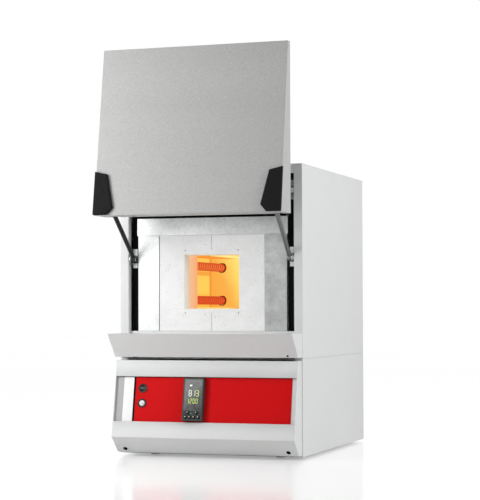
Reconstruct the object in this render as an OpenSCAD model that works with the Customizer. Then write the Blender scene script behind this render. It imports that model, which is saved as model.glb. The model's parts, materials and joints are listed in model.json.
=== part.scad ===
// Bench-top laboratory chamber furnace with an up-and-away door, shown with the door up.
// Seen from its user, X runs to the right, Y to the back and Z up.
// The origin is on the floor, in the middle of the footprint with the door up.

/* [Case] */
// Width of the case over its side panels
case_width = 435; // [425:1:460]
// Depth of the case's side panels
case_depth = 540; // [525:1:600]
// Height of the upper case above the base's side panels
case_rise = 435; // [425:1:470]
// Height of the base's side panels above the floor
base_top_height = 220; // [216:1:222]
// Thickness of the sheet metal
sheet = 1.5; // [1:0.1:1.6]
// Width of the column that each side panel turns in at the front
column_width = 19.5; // [18:0.5:21]
// Depth of the column's return into the case
column_return = 17; // [14:0.5:18]
// Height of the strip across the case's front, above the slots of the arms
header_strip = 21; // [16:1:26]
// Gap between the hot box's top and the case's front above it
header_gap = 6; // [5:0.5:10]
// Height of the feet
foot_height = 5; // [4:0.5:8]
// Diameter of a foot
foot_d = 24; // [18:1:30]
// Distance of a foot's centre from the side panel
foot_inset = 67; // [40:1:80]
// Distance of a foot's centre from the case's front or back
foot_setback = 48; // [30:1:70]

/* [Sill] */
// Height of the sill's top above the base's side panels
sill_top_rise = 57.5; // [54:0.5:57.5]
// Height of the sill's lower edge above the base's side panels
sill_lower_rise = 4.6; // [3:0.2:8]
// Reach of the sill's upper edge in front of the case
sill_upper_reach = 79; // [78:1:84]
// Reach of the sill's lower edge in front of the case
sill_lower_reach = 34; // [28:1:40]
// Height of the upstand between the sill and the hot box
upstand = 5; // [3:0.5:5]
// Distance of the sill's screw from the sill's end
sill_screw_inset = 22.9; // [15:0.1:30]

/* [Base front] */
// Drop of the base front's upper edge below the top of the side panels
bezel_top_drop = 3; // [3:0.5:7]
// Reach of the base front's upper edge in front of the case
bezel_top_reach = 28.6; // [24:0.2:32]
// Height of the base front's prow above the floor
prow_height = 45; // [40:1:50]
// Reach of the prow in front of the case
prow_reach = 59.6; // [54:0.2:66]
// Height of the base front's lower edge above the floor
bezel_low_height = 8.7; // [7:0.1:12]
// Reach of the lower edge in front of the case
bezel_low_reach = 22.4; // [18:0.2:26]
// Height of the control window above the prow, along the slope
window_low = 36; // [30:1:37]
// Height of the control window, along the slope
window_height = 102; // [100:1:108]
// Depth of the fascia plate behind the sloped face
fascia_depth = 6; // [4:0.5:8]
// Diameter of the two screw access holes in the lower slope
access_hole_d = 8.5; // [6:0.5:10]
// Distance of an access hole from the base front's end
access_inset = 22; // [16:1:30]

/* [Controls] */
// Thickness of the panels on the fascia plate
panel_t = 0.8; // [0.5:0.1:1.2]
// Width of the end strip at the left of the window
end_strip_width = 18.3; // [16:0.1:19]
// Width of the bare plate beside it
blank_width = 26.6; // [22:0.1:27]
// Width of the dark joint between the bare plate and the red panel
dark_joint = 2; // [1:0.1:3]
// Width of the light strip at the right of the red panel
right_margin = 10.5; // [8:0.5:14]
// Distance of the controller's centre from the middle of the case
controller_x = -23.2; // [-60:0.2:60]
// Width of the controller's front
controller_width = 48; // [48:1:50]
// Height of the controller's front
controller_height = 96; // [94:1:97]
// Reach of the controller's front in front of the panel
controller_reach = 11; // [8:0.5:14]
// Depth of the controller's body behind the panel
controller_depth = 92; // [60:1:100]
// Diameter of a controller key
key_d = 7.2; // [5:0.2:7.6]
// Travel of a controller key
key_travel = 0.8; // [0.5:0.1:1]
// Distance of the round controls from the left edge of the red panel
round_inset = 18; // [14:0.1:30]
// Outer diameter of a round control's bezel
round_d = 20; // [18:0.5:22]
// Height of the rocker's centre above the prow, along the slope
rocker_rise = 111.6; // [108:0.1:118]
// Height of the push button's centre above the prow, along the slope
button_rise = 78.1; // [60:0.1:84]
// Travel of the push button
button_travel = 2.5; // [1.5:0.1:3]

/* [Hot box] */
// Width of the slot beside the hot box, where the arms move
slot_gap = 20; // [19.5:0.5:22]
// Depth of the hot box's casing
hot_box_depth = 434; // [430:1:450]
// Height of the hot box's top above the base's side panels
hot_box_rise = 319.6; // [314:0.2:322]
// Overhang of the upper front plate past the casing at each side
plate_lap = 2.5; // [0.5:0.1:2.8]
// Setback of the hot box's front behind the case's front
hot_box_setback = 11; // [10.5:0.5:14]
// Width of the brickwork in the hot box's front
brickwork_width = 252; // [240:2:256]
// Height of the brickwork's lower edge above the base's side panels
brickwork_low_rise = 62.9; // [62.9:0.1:70]
// Height of the brickwork's upper edge above the base's side panels
brickwork_high_rise = 280; // [276:1:290]
// Thickness of the front bricks
front_brick_t = 34; // [28:1:38]
// Thickness of the throat bricks behind them
throat_brick_t = 53; // [45:1:60]
// Width of the throat
throat_width = 131.6; // [120:0.2:136]
// Height of the throat's hearth above the base's side panels
throat_low_rise = 113; // [112:0.5:114]
// Height of the throat
throat_height = 123; // [116:1:124]
// Thickness of the slabs above and below the throat
slab_t = 9; // [7:0.5:10]
// Open joint between bricks
joint = 0.6; // [0.3:0.1:1]

/* [Chamber] */
// Width of the chamber
chamber_width = 219; // [214:1:230]
// Depth of the chamber
chamber_depth = 209; // [190:1:216]
// Height of the chamber's floor above the base's side panels
chamber_low_rise = 107; // [100:1:111]
// Height of the chamber
chamber_height = 135; // [130:1:142]
// Thickness of the chamber's side walls
chamber_wall = 30; // [25:1:34]
// Thickness of the chamber's roof, floor and back
chamber_slab = 30; // [24:1:36]
// Thickness of the loose hearth tile
tile_t = 10; // [8:1:11]
// Diameter of a heating rod
rod_d = 20; // [16:0.5:20]
// Distance of the rods from the middle of the chamber
rod_x = 80; // [76:1:84]
// Height of the lower rods above the base's side panels
rod_low_rise = 133; // [130:1:136]
// Distance between the lower and the upper rods
rod_rise = 80; // [72:1:84]
// Diameter of the thermocouple's sheath
probe_d = 6; // [4:0.5:8]

/* [Door] */
// Setback of the door's sides from the case's sides
door_inset = 1.2; // [1:0.1:3]
// Height of the door
door_height = 375; // [360:1:378]
// Depth of the door at its lower edge
door_foot = 74.8; // [72:0.2:76]
// Depth of the door at its upper edge
door_head = 16.7; // [14:0.1:24]
// Gap between the closed door and the case
door_gap = 2; // [1.5:0.1:3]
// Gap between the closed door and the sill
sill_gap = 1; // [0.8:0.1:2]
// Gap between an arm and the inner panel's cheek beside it
cheek_gap = 6; // [4:0.5:7]
// Width of the lip round the door's open back
door_lip = 10; // [8:1:12]
// Width of the door's plug
plug_width = 214; // [190:2:230]
// Height of the plug
plug_height = 196; // [180:2:200]
// Proud thickness of the plug
plug_t = 12.4; // [10:0.1:12.4]
// Height of a corner grip along the door's face
grip_height = 99; // [85:1:110]
// Width of a corner grip at its top
grip_top_width = 30; // [24:1:36]
// Width of a corner grip near its foot
grip_foot_width = 47; // [40:1:56]
// Proud thickness of a grip
grip_t = 7; // [5:0.5:10]

/* [Linkage] */
// Distance between the two pivots of an arm
arm_length = 160; // [155:0.5:164]
// Angle of an arm above the horizontal with the door up
arm_open_angle = 41.3; // [40:0.1:44]
// Angle that the arms swing through to close the door
arm_swing = 116.8; // [114:0.1:119]
// Diameter of an arm
arm_d = 10; // [8:0.5:11]
// Outer diameter of an arm's eye
eye_d = 18; // [16:0.5:20]
// Thickness of an arm's eye
eye_t = 8; // [6:0.5:8]
// Distance of an arm's pivot on the case from the column beside it
arm_inset = 11; // [10.6:0.1:11.4]
// Distance that an arm leans outwards between its two pivots
arm_splay = 3; // [0:0.5:4]
// Diameter of a pivot pin
pin_d = 8; // [6:0.5:9]
// Setback of the pivots on the case behind its front
pivot_setback = 7; // [5:0.5:8]
// Height of the lower pivots on the case above the base's side panels
lower_pivot_rise = 226.7; // [220:0.5:232]
// Distance between the lower and the upper pivots
pivot_rise = 150; // [140:1:154]
// Height of a bracket's plate above its pivot
bracket_high = 24; // [16:1:28]
// Depth of a bracket's plate below its pivot
bracket_low = 20; // [14:1:26]
// Diameter of a bracket's round lug
lug_d = 20; // [16:1:22]

/* [Electrics] */
// Width of the cover over the rods' terminals
cover_width = 300; // [240:5:320]
// Height of that cover above the upper rods, and below the lower ones
cover_margin = 65; // [50:1:80]
// Depth of that cover
cover_depth = 24; // [20:1:40]
// Distance of the power controller's near corner from the middle, to the left
heat_sink_x = 150; // [120:1:170]
// Distance of the power controller behind the case's front
heat_sink_setback = 260; // [240:1:300]
// Length of the heat sink
heat_sink_length = 120; // [80:1:150]
// Number of its fins
fin_count = 12; // [8:1:12]
// Distance of the terminal block from the middle, to the right
terminal_x = 40; // [30:1:70]
// Distance of the terminal block behind the case's front
terminal_setback = 400; // [300:1:450]
// Number of its terminals
terminal_count = 8; // [4:1:9]
// Distance of the cable gland from the middle, to the right
gland_x = 130; // [110:1:160]
// Height of the cable gland and the fuse holders above the floor
gland_height = 60; // [40:1:150]

/* [Hidden] */

$fn = 48;
// Set apart for pieces that lie next to each other without touching
clear = 0.3;
// Overshoot of a cutter past the face that it cuts
over = 1;

// Case
front_y = -201;
rear_y = front_y + case_depth;
half_case = case_width / 2;
column_x = half_case - column_width;
deck_top = base_top_height + sheet;
case_top_height = base_top_height + case_rise;
upper_side_top = case_top_height - sheet;
hot_box_top_height = base_top_height + hot_box_rise;
header_low = hot_box_top_height + header_gap;
header_strip_low = case_top_height - header_strip;
sill_top_height = base_top_height + sill_top_rise;
sill_lower_height = base_top_height + sill_lower_rise;

// Slope of the base front
bezel_top_height = base_top_height - bezel_top_drop;
slope_run = prow_reach - bezel_top_reach;
slope_rise = bezel_top_height - prow_height;
slope_angle = atan2(slope_run, slope_rise);
slope_length = norm([slope_run, slope_rise]);
half_bezel = half_case - 2.5;
window_x = half_bezel - sheet;
window_mid = window_low + window_height / 2;
panel_face = fascia_depth - panel_t;
controller_face = panel_face - controller_reach;
blank_low_x = -window_x + end_strip_width + clear;
red_low_x = blank_low_x + blank_width + dark_joint;
red_high_x = window_x - right_margin;
round_x = red_low_x + round_inset;
access_x = half_bezel - access_inset;

// Hot box
hot_front = front_y + hot_box_setback;
plate_t = 1.2;
casing_front = hot_front + plate_t;
casing_rear = casing_front + hot_box_depth;
half_hot = column_x - slot_gap;
brickwork_low = base_top_height + brickwork_low_rise;
brickwork_high = base_top_height + brickwork_high_rise;
throat_low = base_top_height + throat_low_rise;
chamber_low = base_top_height + chamber_low_rise;
rod_low = base_top_height + rod_low_rise;
half_brickwork = brickwork_width / 2;
half_throat = throat_width / 2;
throat_high = throat_low + throat_height;
slab_low = throat_low - slab_t;
slab_high = throat_high + slab_t;
throat_front = hot_front + front_brick_t;
chamber_front = throat_front + joint + throat_brick_t;
chamber_rear = chamber_front + joint + chamber_depth;
chamber_high = chamber_low + chamber_height;
half_chamber = chamber_width / 2;
chamber_outer = half_chamber + chamber_wall;
lining_low = chamber_low - joint - chamber_slab;
lining_high = chamber_high + joint + chamber_slab;
lining_rear = chamber_rear + joint + chamber_slab;
rod_front = chamber_front + 5;
rod_rear = casing_rear + 42;
rod_heights = [rod_low, rod_low + rod_rise];
probe_height = chamber_high - 12;
strap_y = casing_rear + 22;

// Linkage: the door keeps upright and moves along an arc of the arms' radius
arm_closed_angle = arm_open_angle - arm_swing;
door_shift = arm_length * (cos(arm_open_angle) - cos(arm_closed_angle));
door_drop = arm_length * (sin(arm_open_angle) - sin(arm_closed_angle));
pivot_y = front_y + pivot_setback;
arm_x = column_x - arm_inset;
door_arm_x = arm_x + arm_splay;
splay_angle = asin(arm_splay / arm_length);
lower_pivot_height = base_top_height + lower_pivot_rise;
pivot_heights = [lower_pivot_height, lower_pivot_height + pivot_rise];
door_pivot_y = pivot_y - arm_length * cos(arm_open_angle);
door_pivot_lift = arm_length * sin(arm_open_angle);
bore_d = pin_d + 0.1;
open_bore_d = pin_d + 0.6;
lug_t = 2.4;
lug_x = arm_x + arm_d / 2 + 0.6;
clip_t = 1.2;
clip_x = arm_x - eye_t / 2 - clear - clip_t;
upright_y = pivot_y + 14;

// Door, as it stands when it is up
half_door = half_case - door_inset;
door_rear = front_y - door_gap - door_shift;
door_low = sill_top_height + sill_gap + door_drop;
door_high = door_low + door_height;
door_slope = atan2(door_foot - door_head, door_height);
half_inner = arm_x - arm_d / 2 - cheek_gap;
// Depth of the shapes that trim the door's section, more than the door's own
trim_depth = 2 * door_foot;
plug_low = throat_low + throat_height / 2 - plug_height / 2 + door_drop;

// A block between two corners
module block(low, high) {
    translate(low) cube(high - low);
}

// The child and its mirror image on the other side of the case
module both_sides() {
    children();
    mirror([1, 0, 0]) children();
}

// A profile drawn in Y and Z, run along X between two places
module run_x(x_low, x_high) {
    translate([x_low, 0, 0]) rotate([90, 0, 90]) linear_extrude(x_high - x_low) children();
}

// A round bar along X between two places
module bar_x(d, x_low, x_high) {
    translate([x_low, 0, 0]) rotate([0, 90, 0]) cylinder(d = d, h = x_high - x_low);
}

// A round bar along Y between two places
module bar_y(d, y_low, y_high) {
    translate([0, y_low, 0]) rotate([-90, 0, 0]) cylinder(d = d, h = y_high - y_low);
}

// Places the child on the base front's slope: X along the case, Y into it, Z up the slope
module on_slope() {
    translate([0, front_y - prow_reach, prow_height]) rotate([-slope_angle, 0, 0]) children();
}

// Places the child on the door's sloping face: X along the door, Y into it, Z up the slope
module on_door_face() {
    translate([0, door_rear - door_foot, door_low]) rotate([-door_slope, 0, 0]) children();
}

// A side panel's plan: the wall, the column turned in at the front and the flange at the back
module side_plan(return_depth) {
    translate([half_case - sheet, front_y]) square([sheet, case_depth]);
    translate([column_x, front_y]) square([column_width, sheet]);
    translate([column_x, front_y]) square([sheet, return_depth]);
    translate([column_x, rear_y - sheet]) square([column_width, sheet]);
}

// The right-hand upper side panel
module upper_side() {
    translate([0, 0, deck_top]) linear_extrude(upper_side_top - deck_top) side_plan(column_return);
}

// The right-hand side panel of the base, with the flange that carries the deck
module lower_side() {
    translate([0, 0, foot_height])
        linear_extrude(base_top_height - foot_height) side_plan(column_return);
    block([column_x, front_y + sheet, base_top_height - sheet],
        [half_case - sheet, rear_y - sheet, base_top_height]);
}

module case_left_side() {
    color("gainsboro") mirror([1, 0, 0]) upper_side();
}

module case_right_side() {
    color("gainsboro") upper_side();
}

// The front of the case above the hot box reaches down between the slots of the arms
module header_outline() {
    half_strip = column_x - clear;
    half_header = half_hot - 1;
    polygon([
        [-half_strip, case_top_height], [-half_strip, header_strip_low],
        [-half_header, header_strip_low], [-half_header, header_low],
        [half_header, header_low], [half_header, header_strip_low],
        [half_strip, header_strip_low], [half_strip, case_top_height]
    ]);
}

// The top has cooling slots over the hot box; its front edge is turned down as the header
module case_top() {
    slot_rows = 8;
    slot_pitch = 16;
    slot_length = 120;
    slot_width = 5;
    slot_x = 80;
    slot_setback = 60;
    color("gainsboro") {
        difference() {
            block([-half_case, front_y, upper_side_top], [half_case, rear_y + sheet, case_top_height]);
            for (side = [-1, 1], i = [0 : slot_rows - 1])
                translate([side * slot_x, rear_y - slot_setback - i * slot_pitch, upper_side_top - over])
                    linear_extrude(sheet + 2 * over) slot(slot_length, slot_width);
        }
        translate([0, front_y + sheet, 0]) rotate([90, 0, 0]) linear_extrude(sheet) header_outline();
    }
}

// A slot with round ends, along X
module slot(length, width) {
    straight = length - width;
    square([straight, width], center = true);
    for (end = [-1, 1])
        translate([end * straight / 2, 0]) circle(d = width);
}

// The rear panel has an opening at the rods' terminals, closed by the terminal cover
module case_rear() {
    color("gainsboro") difference() {
        block([-half_case + 3, rear_y, deck_top + 1], [half_case - 3, rear_y + sheet, upper_side_top]);
        block([-cover_width / 2 + 12, rear_y - over, cover_low + 12],
            [cover_width / 2 - 12, rear_y + sheet + over, cover_high - 12]);
    }
}

cover_low = rod_low - cover_margin;
cover_high = rod_low + rod_rise + cover_margin;

// A shallow box over the terminals, with cooling slots above and below
module terminal_cover() {
    cover_y = rear_y + sheet;
    wall_in = 8;
    slot_rows = 6;
    slot_pitch = 10;
    slot_margin = 30;
    slot_length = cover_width - 100;
    slot_width = 4;
    color("gainsboro") difference() {
        union() {
            block([-cover_width / 2, cover_y, cover_low], [cover_width / 2, cover_y + sheet, cover_high]);
            block([-cover_width / 2 + wall_in, cover_y, cover_low + wall_in],
                [cover_width / 2 - wall_in, cover_y + cover_depth, cover_high - wall_in]);
        }
        block([-cover_width / 2 + wall_in + sheet, cover_y - over, cover_low + wall_in + sheet],
            [cover_width / 2 - wall_in - sheet, cover_y + cover_depth - sheet,
                cover_high - wall_in - sheet]);
        for (i = [0 : slot_rows - 1], row = [cover_low + slot_margin,
            cover_high - slot_margin - (slot_rows - 1) * slot_pitch])
            translate([0, cover_y + cover_depth - sheet - over, row + i * slot_pitch])
                rotate([-90, 0, 0]) linear_extrude(sheet + 2 * over) slot(slot_length, slot_width);
    }
}

// The sill's section: a folded sheet whose front leans back towards its lower edge
module sill_section(inset) {
    offset(delta = -inset) polygon([
        [front_y, sill_lower_height],
        [front_y - sill_lower_reach, sill_lower_height],
        [front_y - sill_upper_reach, sill_top_height],
        [front_y, sill_top_height]
    ]);
}

module sill() {
    half_sill = half_case - 1;
    color("gainsboro") difference() {
        run_x(-half_sill, half_sill) sill_section(0);
        run_x(-half_sill + sheet, half_sill - sheet) sill_section(sheet);
        translate([sill_screw_x, front_y - sill_lower_reach, sill_screw_height])
            rotate([90, 0, 0]) cylinder(d = sill_screw_d, h = 20, center = true);
    }
}

// A ledge between the columns closes the step from the sill to the hot box
module hot_box_ledge() {
    ledge_rear = hot_front - clear;
    color("gainsboro") {
        block([-column_x + clear, front_y, sill_top_height - sheet],
            [column_x - clear, ledge_rear, sill_top_height]);
        block([-column_x + clear, ledge_rear - sheet, sill_top_height - sheet],
            [column_x - clear, ledge_rear, sill_top_height + upstand]);
    }
}

sill_screw_x = half_case - 1 - sill_screw_inset;
sill_screw_d = 3.2;
sill_screw_height = sill_lower_height + 4;

// The hot box's casing is open at the front; its back has a hole for each rod and for the probe
module hot_box_casing() {
    color("silver") difference() {
        block([-half_hot, casing_front, deck_top], [half_hot, casing_rear, hot_box_top_height]);
        block([-half_hot + plate_t, casing_front - over, deck_top + plate_t],
            [half_hot - plate_t, casing_rear - plate_t, hot_box_top_height - plate_t]);
        rod_places(rod_d + 3, casing_rear - plate_t - over, casing_rear + over);
        probe_place(probe_d + 2, casing_rear - plate_t - over, casing_rear + over);
    }
}

// A round bar of one diameter in the place of each heating rod
module rod_places(d, y_low, y_high) {
    for (side = [-1, 1], z = rod_heights)
        translate([side * rod_x, 0, z]) bar_y(d, y_low, y_high);
}

module probe_place(d, y_low, y_high) {
    translate([0, 0, probe_height]) bar_y(d, y_low, y_high);
}

// Four steel plates close the casing's front round the brickwork
module front_plates() {
    color("silver") {
        block([-half_hot - plate_lap, hot_front, brickwork_high + clear],
            [half_hot + plate_lap, casing_front, hot_box_top_height]);
        both_sides() block([half_brickwork + clear, hot_front, brickwork_low],
            [half_hot, casing_front, brickwork_high]);
        block([-half_hot, hot_front, deck_top], [half_hot, casing_front, brickwork_low - clear]);
    }
}

// The brickwork round the throat: a pair above, a pair below and one at each side
module front_bricks() {
    color("whitesmoke") both_sides() {
        block([joint / 2, hot_front, slab_high + joint], [half_brickwork, throat_front, brickwork_high]);
        block([joint / 2, hot_front, brickwork_low], [half_brickwork, throat_front, slab_low - joint]);
        block([half_throat, hot_front, slab_low], [half_brickwork, throat_front, slab_high]);
    }
}

// The lintel and the hearth strip run through the throat
module throat_slabs() {
    color("whitesmoke") for (z = [slab_low, throat_high])
        block([-half_throat + joint / 2, hot_front, z],
            [half_throat - joint / 2, chamber_front, z + slab_t]);
}

module throat_bricks() {
    color("lightsalmon") both_sides()
        block([half_throat, throat_front + joint, slab_low], [chamber_outer, chamber_front, slab_high]);
}

module chamber_walls() {
    color("gold") both_sides()
        block([half_chamber, chamber_front + joint, chamber_low],
            [chamber_outer, chamber_rear, chamber_high]);
}

module chamber_roof() {
    color("orange") block([-chamber_outer, chamber_front + joint, chamber_high + joint],
        [chamber_outer, lining_rear, lining_high]);
}

module chamber_floor() {
    color("orange") block([-chamber_outer, chamber_front + joint, lining_low],
        [chamber_outer, lining_rear, chamber_low - joint]);
}

module chamber_back() {
    color("orange") difference() {
        block([-chamber_outer, chamber_rear + joint, chamber_low],
            [chamber_outer, lining_rear, chamber_high]);
        rod_places(rod_d + 6, chamber_rear, lining_rear + over);
        probe_place(probe_d + 3, chamber_rear, lining_rear + over);
    }
}

// A loose tile on the chamber's floor carries the load between the rods
module hearth_tile() {
    half_tile = rod_x - 5;
    color("orange") block([-half_tile, chamber_front + 4, chamber_low - joint + 0.1],
        [half_tile, chamber_rear - 3, chamber_low - joint + 0.1 + tile_t]);
}

// Fibre between the lining and the casing, with a close hole that carries each rod
module backup_insulation() {
    inner = plate_t + clear;
    color("ivory") difference() {
        block([-half_hot + inner, casing_front + clear, deck_top + inner],
            [half_hot - inner, casing_rear - inner, hot_box_top_height - inner]);
        block([-half_brickwork - clear, casing_front, brickwork_low - clear],
            [half_brickwork + clear, throat_front + clear, brickwork_high + clear]);
        block([-chamber_outer - clear, throat_front, lining_low - clear],
            [chamber_outer + clear, lining_rear + clear, lining_high + clear]);
        rod_places(rod_d + 2 * clear, lining_rear, casing_rear + over);
        probe_place(probe_d + 2 * clear, lining_rear, casing_rear + over);
    }
}

// Each rod stands out of the chamber's back, closed at the front, with both ends at its rear
module heating_rods() {
    collar_t = 8;
    nose = 2;
    color("orangered") for (side = [-1, 1], z = rod_heights)
        translate([side * rod_x, 0, z]) rotate([90, 0, 0]) mirror([0, 0, 1]) rotate_extrude() polygon([
            [0, rod_front], [rod_d / 2 - nose, rod_front], [rod_d / 2, rod_front + nose],
            [rod_d / 2, casing_rear + clear], [rod_d / 2 + 4, casing_rear + clear],
            [rod_d / 2 + 4, casing_rear + clear + collar_t], [rod_d / 2, casing_rear + clear + collar_t],
            [rod_d / 2, rod_rear], [0, rod_rear]
        ]);
}

// A strap joins the upper and the lower rod of each side, behind the casing
module rod_straps() {
    strap_t = 3;
    strap_w = 16;
    ring_t = 12;
    ring_d = rod_d + 8;
    color("silver") both_sides() difference() {
        union() {
            for (z = rod_heights)
                translate([rod_x, 0, z]) bar_y(ring_d, strap_y, strap_y + ring_t);
            block([rod_x - strap_w / 2, strap_y, rod_low], [rod_x + strap_w / 2, strap_y + strap_t,
                rod_low + rod_rise]);
        }
        for (z = rod_heights)
            translate([rod_x, 0, z]) bar_y(rod_d + 0.2, strap_y - over, strap_y + ring_t + over);
    }
}

// The probe's sheath reaches into the chamber under its roof; its head is behind the casing
module thermocouple() {
    reach = 25;
    head_d = 22;
    head_length = 30;
    color("dimgray") {
        probe_place(probe_d, chamber_rear - reach, casing_rear + 6);
        probe_place(head_d, casing_rear + clear, casing_rear + head_length);
    }
}

// A black channel fills each slot beside the hot box and carries the arms' brackets
module slot_uprights() {
    inner_x = half_hot + 2.5;
    outer_x = column_x - 3;
    depth = 24;
    wall = 2;
    color("black") both_sides() difference() {
        block([inner_x, upright_y, deck_top], [outer_x, upright_y + depth, upper_side_top - clear]);
        block([inner_x + wall, upright_y + wall, deck_top - over],
            [outer_x - wall, upright_y + depth + over, upper_side_top]);
    }
}

// Each bracket has a plate on the upright and a round lug turned forward beside the arm
module arm_brackets() {
    bracket_t = 2.5;
    color("silver") both_sides() for (z = pivot_heights) translate([0, 0, z]) difference() {
        union() {
            block([arm_x - 4, upright_y - bracket_t, -bracket_low],
                [lug_x + lug_t, upright_y, bracket_high]);
            translate([0, pivot_y, 0]) bar_x(lug_d, lug_x, lug_x + lug_t);
            block([lug_x, pivot_y, -lug_d / 2], [lug_x + lug_t, upright_y, lug_d / 2]);
        }
        translate([0, pivot_y, 0]) bar_x(pin_d + 0.04, lug_x - over, lug_x + lug_t + over);
    }
}

// A pin runs through the bracket's lug and the arm's eye; a shoulder and a clip keep the eye
module arm_pins() {
    head_t = 2;
    color("darkgray") both_sides() for (z = pivot_heights) translate([0, pivot_y, z]) {
        bar_x(pin_d, clip_x, lug_x + lug_t + head_t);
        bar_x(pin_d + 4, lug_x + lug_t + 0.02, lug_x + lug_t + head_t);
        bar_x(pin_d + 3, arm_x + eye_t / 2 + clear, lug_x - 0.02);
        bar_x(pin_d + 3, clip_x, clip_x + clip_t);
    }
}

// The deck closes the base and carries the hot box and the upper case
module base_deck() {
    color("gainsboro") block([-half_case + sheet, front_y + sheet, base_top_height],
        [half_case - sheet, rear_y - sheet, deck_top]);
}

// The base's floor, with rows of cooling slots
module base_tray() {
    color("gainsboro") difference() {
        union() {
            block([-half_case + sheet, front_y + column_return, foot_height],
                [half_case - sheet, rear_y - sheet, foot_height + sheet]);
            block([-column_x, front_y, foot_height],
                [column_x, front_y + column_return, foot_height + sheet]);
        }
        for (side = [-1, 1], i = [0 : 6])
            translate([side * 70, front_y + 180 + i * 30, foot_height - over])
                linear_extrude(sheet + 2 * over) slot(90, 6);
    }
}

module base_left_side() {
    color("gainsboro") mirror([1, 0, 0]) lower_side();
}

module base_right_side() {
    color("gainsboro") lower_side();
}

gland_d = 20;
fuse_d = 13;
fuse_places = [60, 85];

// The base's rear panel has a row of slots and the holes of the gland and the fuse holders
module base_rear() {
    color("gainsboro") difference() {
        block([-half_case + 3, rear_y, foot_height + 2], [half_case - 3, rear_y + sheet, deck_top]);
        for (i = [0 : 9])
            translate([-90, rear_y - over, 80 + i * 11])
                rotate([-90, 0, 0]) linear_extrude(sheet + 2 * over) slot(140, 5);
        translate([gland_x, 0, gland_height]) bar_y(gland_d + 0.1, rear_y - over, rear_y + sheet + over);
        for (x = fuse_places)
            translate([x, 0, gland_height]) bar_y(fuse_d + 0.1, rear_y - over, rear_y + sheet + over);
    }
}

// The base front's section
module bezel_section(inset) {
    offset(delta = -inset) polygon([
        [front_y, bezel_low_height],
        [front_y - bezel_low_reach, bezel_low_height],
        [front_y - prow_reach, prow_height],
        [front_y - bezel_top_reach, bezel_top_height],
        [front_y, bezel_top_height]
    ]);
}

// The base front: two bands joined by cheeks, with a window between them for the controls
module base_front() {
    chamfer_angle = atan2(prow_reach - bezel_low_reach, prow_height - bezel_low_height);
    color("gainsboro") difference() {
        run_x(-half_bezel, half_bezel) bezel_section(0);
        run_x(-half_bezel + sheet, half_bezel - sheet) bezel_section(sheet);
        block([-half_bezel + sheet, front_y - 2 * sheet, bezel_low_height + sheet],
            [half_bezel - sheet, front_y + over, bezel_top_height - sheet]);
        on_slope() block([-window_x, -over, window_low], [window_x, 2 * sheet, window_low + window_height]);
        for (x = [-access_x, access_x])
            translate([x, front_y - bezel_low_reach, bezel_low_height]) rotate([chamfer_angle, 0, 0])
                translate([0, 0, 12]) rotate([90, 0, 0]) cylinder(d = access_hole_d, h = 10, center = true);
    }
}

// The fascia plate lies between the cheeks, behind the window, cut out for what goes through it
module fascia_plate() {
    lap = 6;
    color("whitesmoke") on_slope() difference() {
        block([-window_x, fascia_depth, window_low - lap],
            [window_x, fascia_depth + sheet, window_low + window_height + lap]);
        control_cuts(fascia_depth, fascia_depth + sheet);
    }
}

// The holes of the controller and the round controls through a plate on the slope
module control_cuts(y_low, y_high) {
    body_w = controller_width - 3;
    body_h = controller_height - 4;
    block([controller_x - body_w / 2 - clear, y_low - over, window_mid - body_h / 2 - clear],
        [controller_x + body_w / 2 + clear, y_high + over, window_mid + body_h / 2 + clear]);
    for (z = [rocker_rise, button_rise])
        translate([round_x, 0, z]) bar_y(barrel_d + 2 * clear, y_low - over, y_high + over);
}

// A thin panel on the fascia plate between two places along X
module fascia_panel(x_low, x_high) {
    on_slope() difference() {
        block([x_low, panel_face, window_low + clear], [x_high, fascia_depth, window_low + window_height]);
        control_cuts(panel_face, fascia_depth);
    }
}

module left_end_strip() {
    color("darkgray") fascia_panel(-window_x, -window_x + end_strip_width);
}

module blank_plate() {
    color("white") fascia_panel(blank_low_x, blank_low_x + blank_width);
}

module red_panel() {
    color("firebrick") fascia_panel(red_low_x, red_high_x);
}

// Keys: across the controller's front from its middle, and up from its lower edge
key_low_row = 7.8;
key_high_row = 17.8;
key_pitch = 10.1;
key_hole_d = key_d + 0.6;
key_places = [
    [-1.5 * key_pitch, key_low_row], [-0.5 * key_pitch, key_low_row],
    [0.5 * key_pitch, key_low_row], [1.5 * key_pitch, key_low_row],
    [-key_pitch, key_high_row], [key_pitch, key_high_row]
];
controller_low = window_mid - controller_height / 2;
key_seat_depth = 3.2;
window_glass_t = 0.6;

// The controller: a flanged front with key wells and a recess for its window, and a body behind
module controller_case() {
    body_w = controller_width - 3;
    body_h = controller_height - 4;
    color("black") on_slope() difference() {
        union() {
            block([controller_x - controller_width / 2, controller_face, controller_low],
                [controller_x + controller_width / 2, panel_face, controller_low + controller_height]);
            block([controller_x - body_w / 2, controller_face + 2, window_mid - body_h / 2],
                [controller_x + body_w / 2, panel_face + controller_depth, window_mid + body_h / 2]);
        }
        for (place = key_places)
            translate([controller_x + place[0], 0, controller_low + place[1]])
                bar_y(key_hole_d, controller_face - over, controller_face + key_seat_depth);
        block([controller_x - controller_width / 2 + 2.5, controller_face - over, controller_low + 23],
            [controller_x + controller_width / 2 - 2.5, controller_face + window_glass_t,
                controller_low + controller_height - 2.5]);
    }
}

module controller_window() {
    color("dimgray") on_slope()
        block([controller_x - controller_width / 2 + 2.6, controller_face, controller_low + 23.1],
            [controller_x + controller_width / 2 - 2.6, controller_face + window_glass_t,
                controller_low + controller_height - 2.6]);
}

// One key of the controller, standing a little proud of its front
module key(place) {
    proud = 1;
    color("dimgray") on_slope() translate([controller_x + place[0], 0, controller_low + place[1]])
        bar_y(key_d, controller_face - proud, controller_face + key_seat_depth - key_travel - clear);
}

module key_page() {
    key(key_places[0]);
}

module key_scroll() {
    key(key_places[1]);
}

module key_down() {
    key(key_places[2]);
}

module key_up() {
    key(key_places[3]);
}

module key_run() {
    key(key_places[4]);
}

module key_hold() {
    key(key_places[5]);
}

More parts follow.
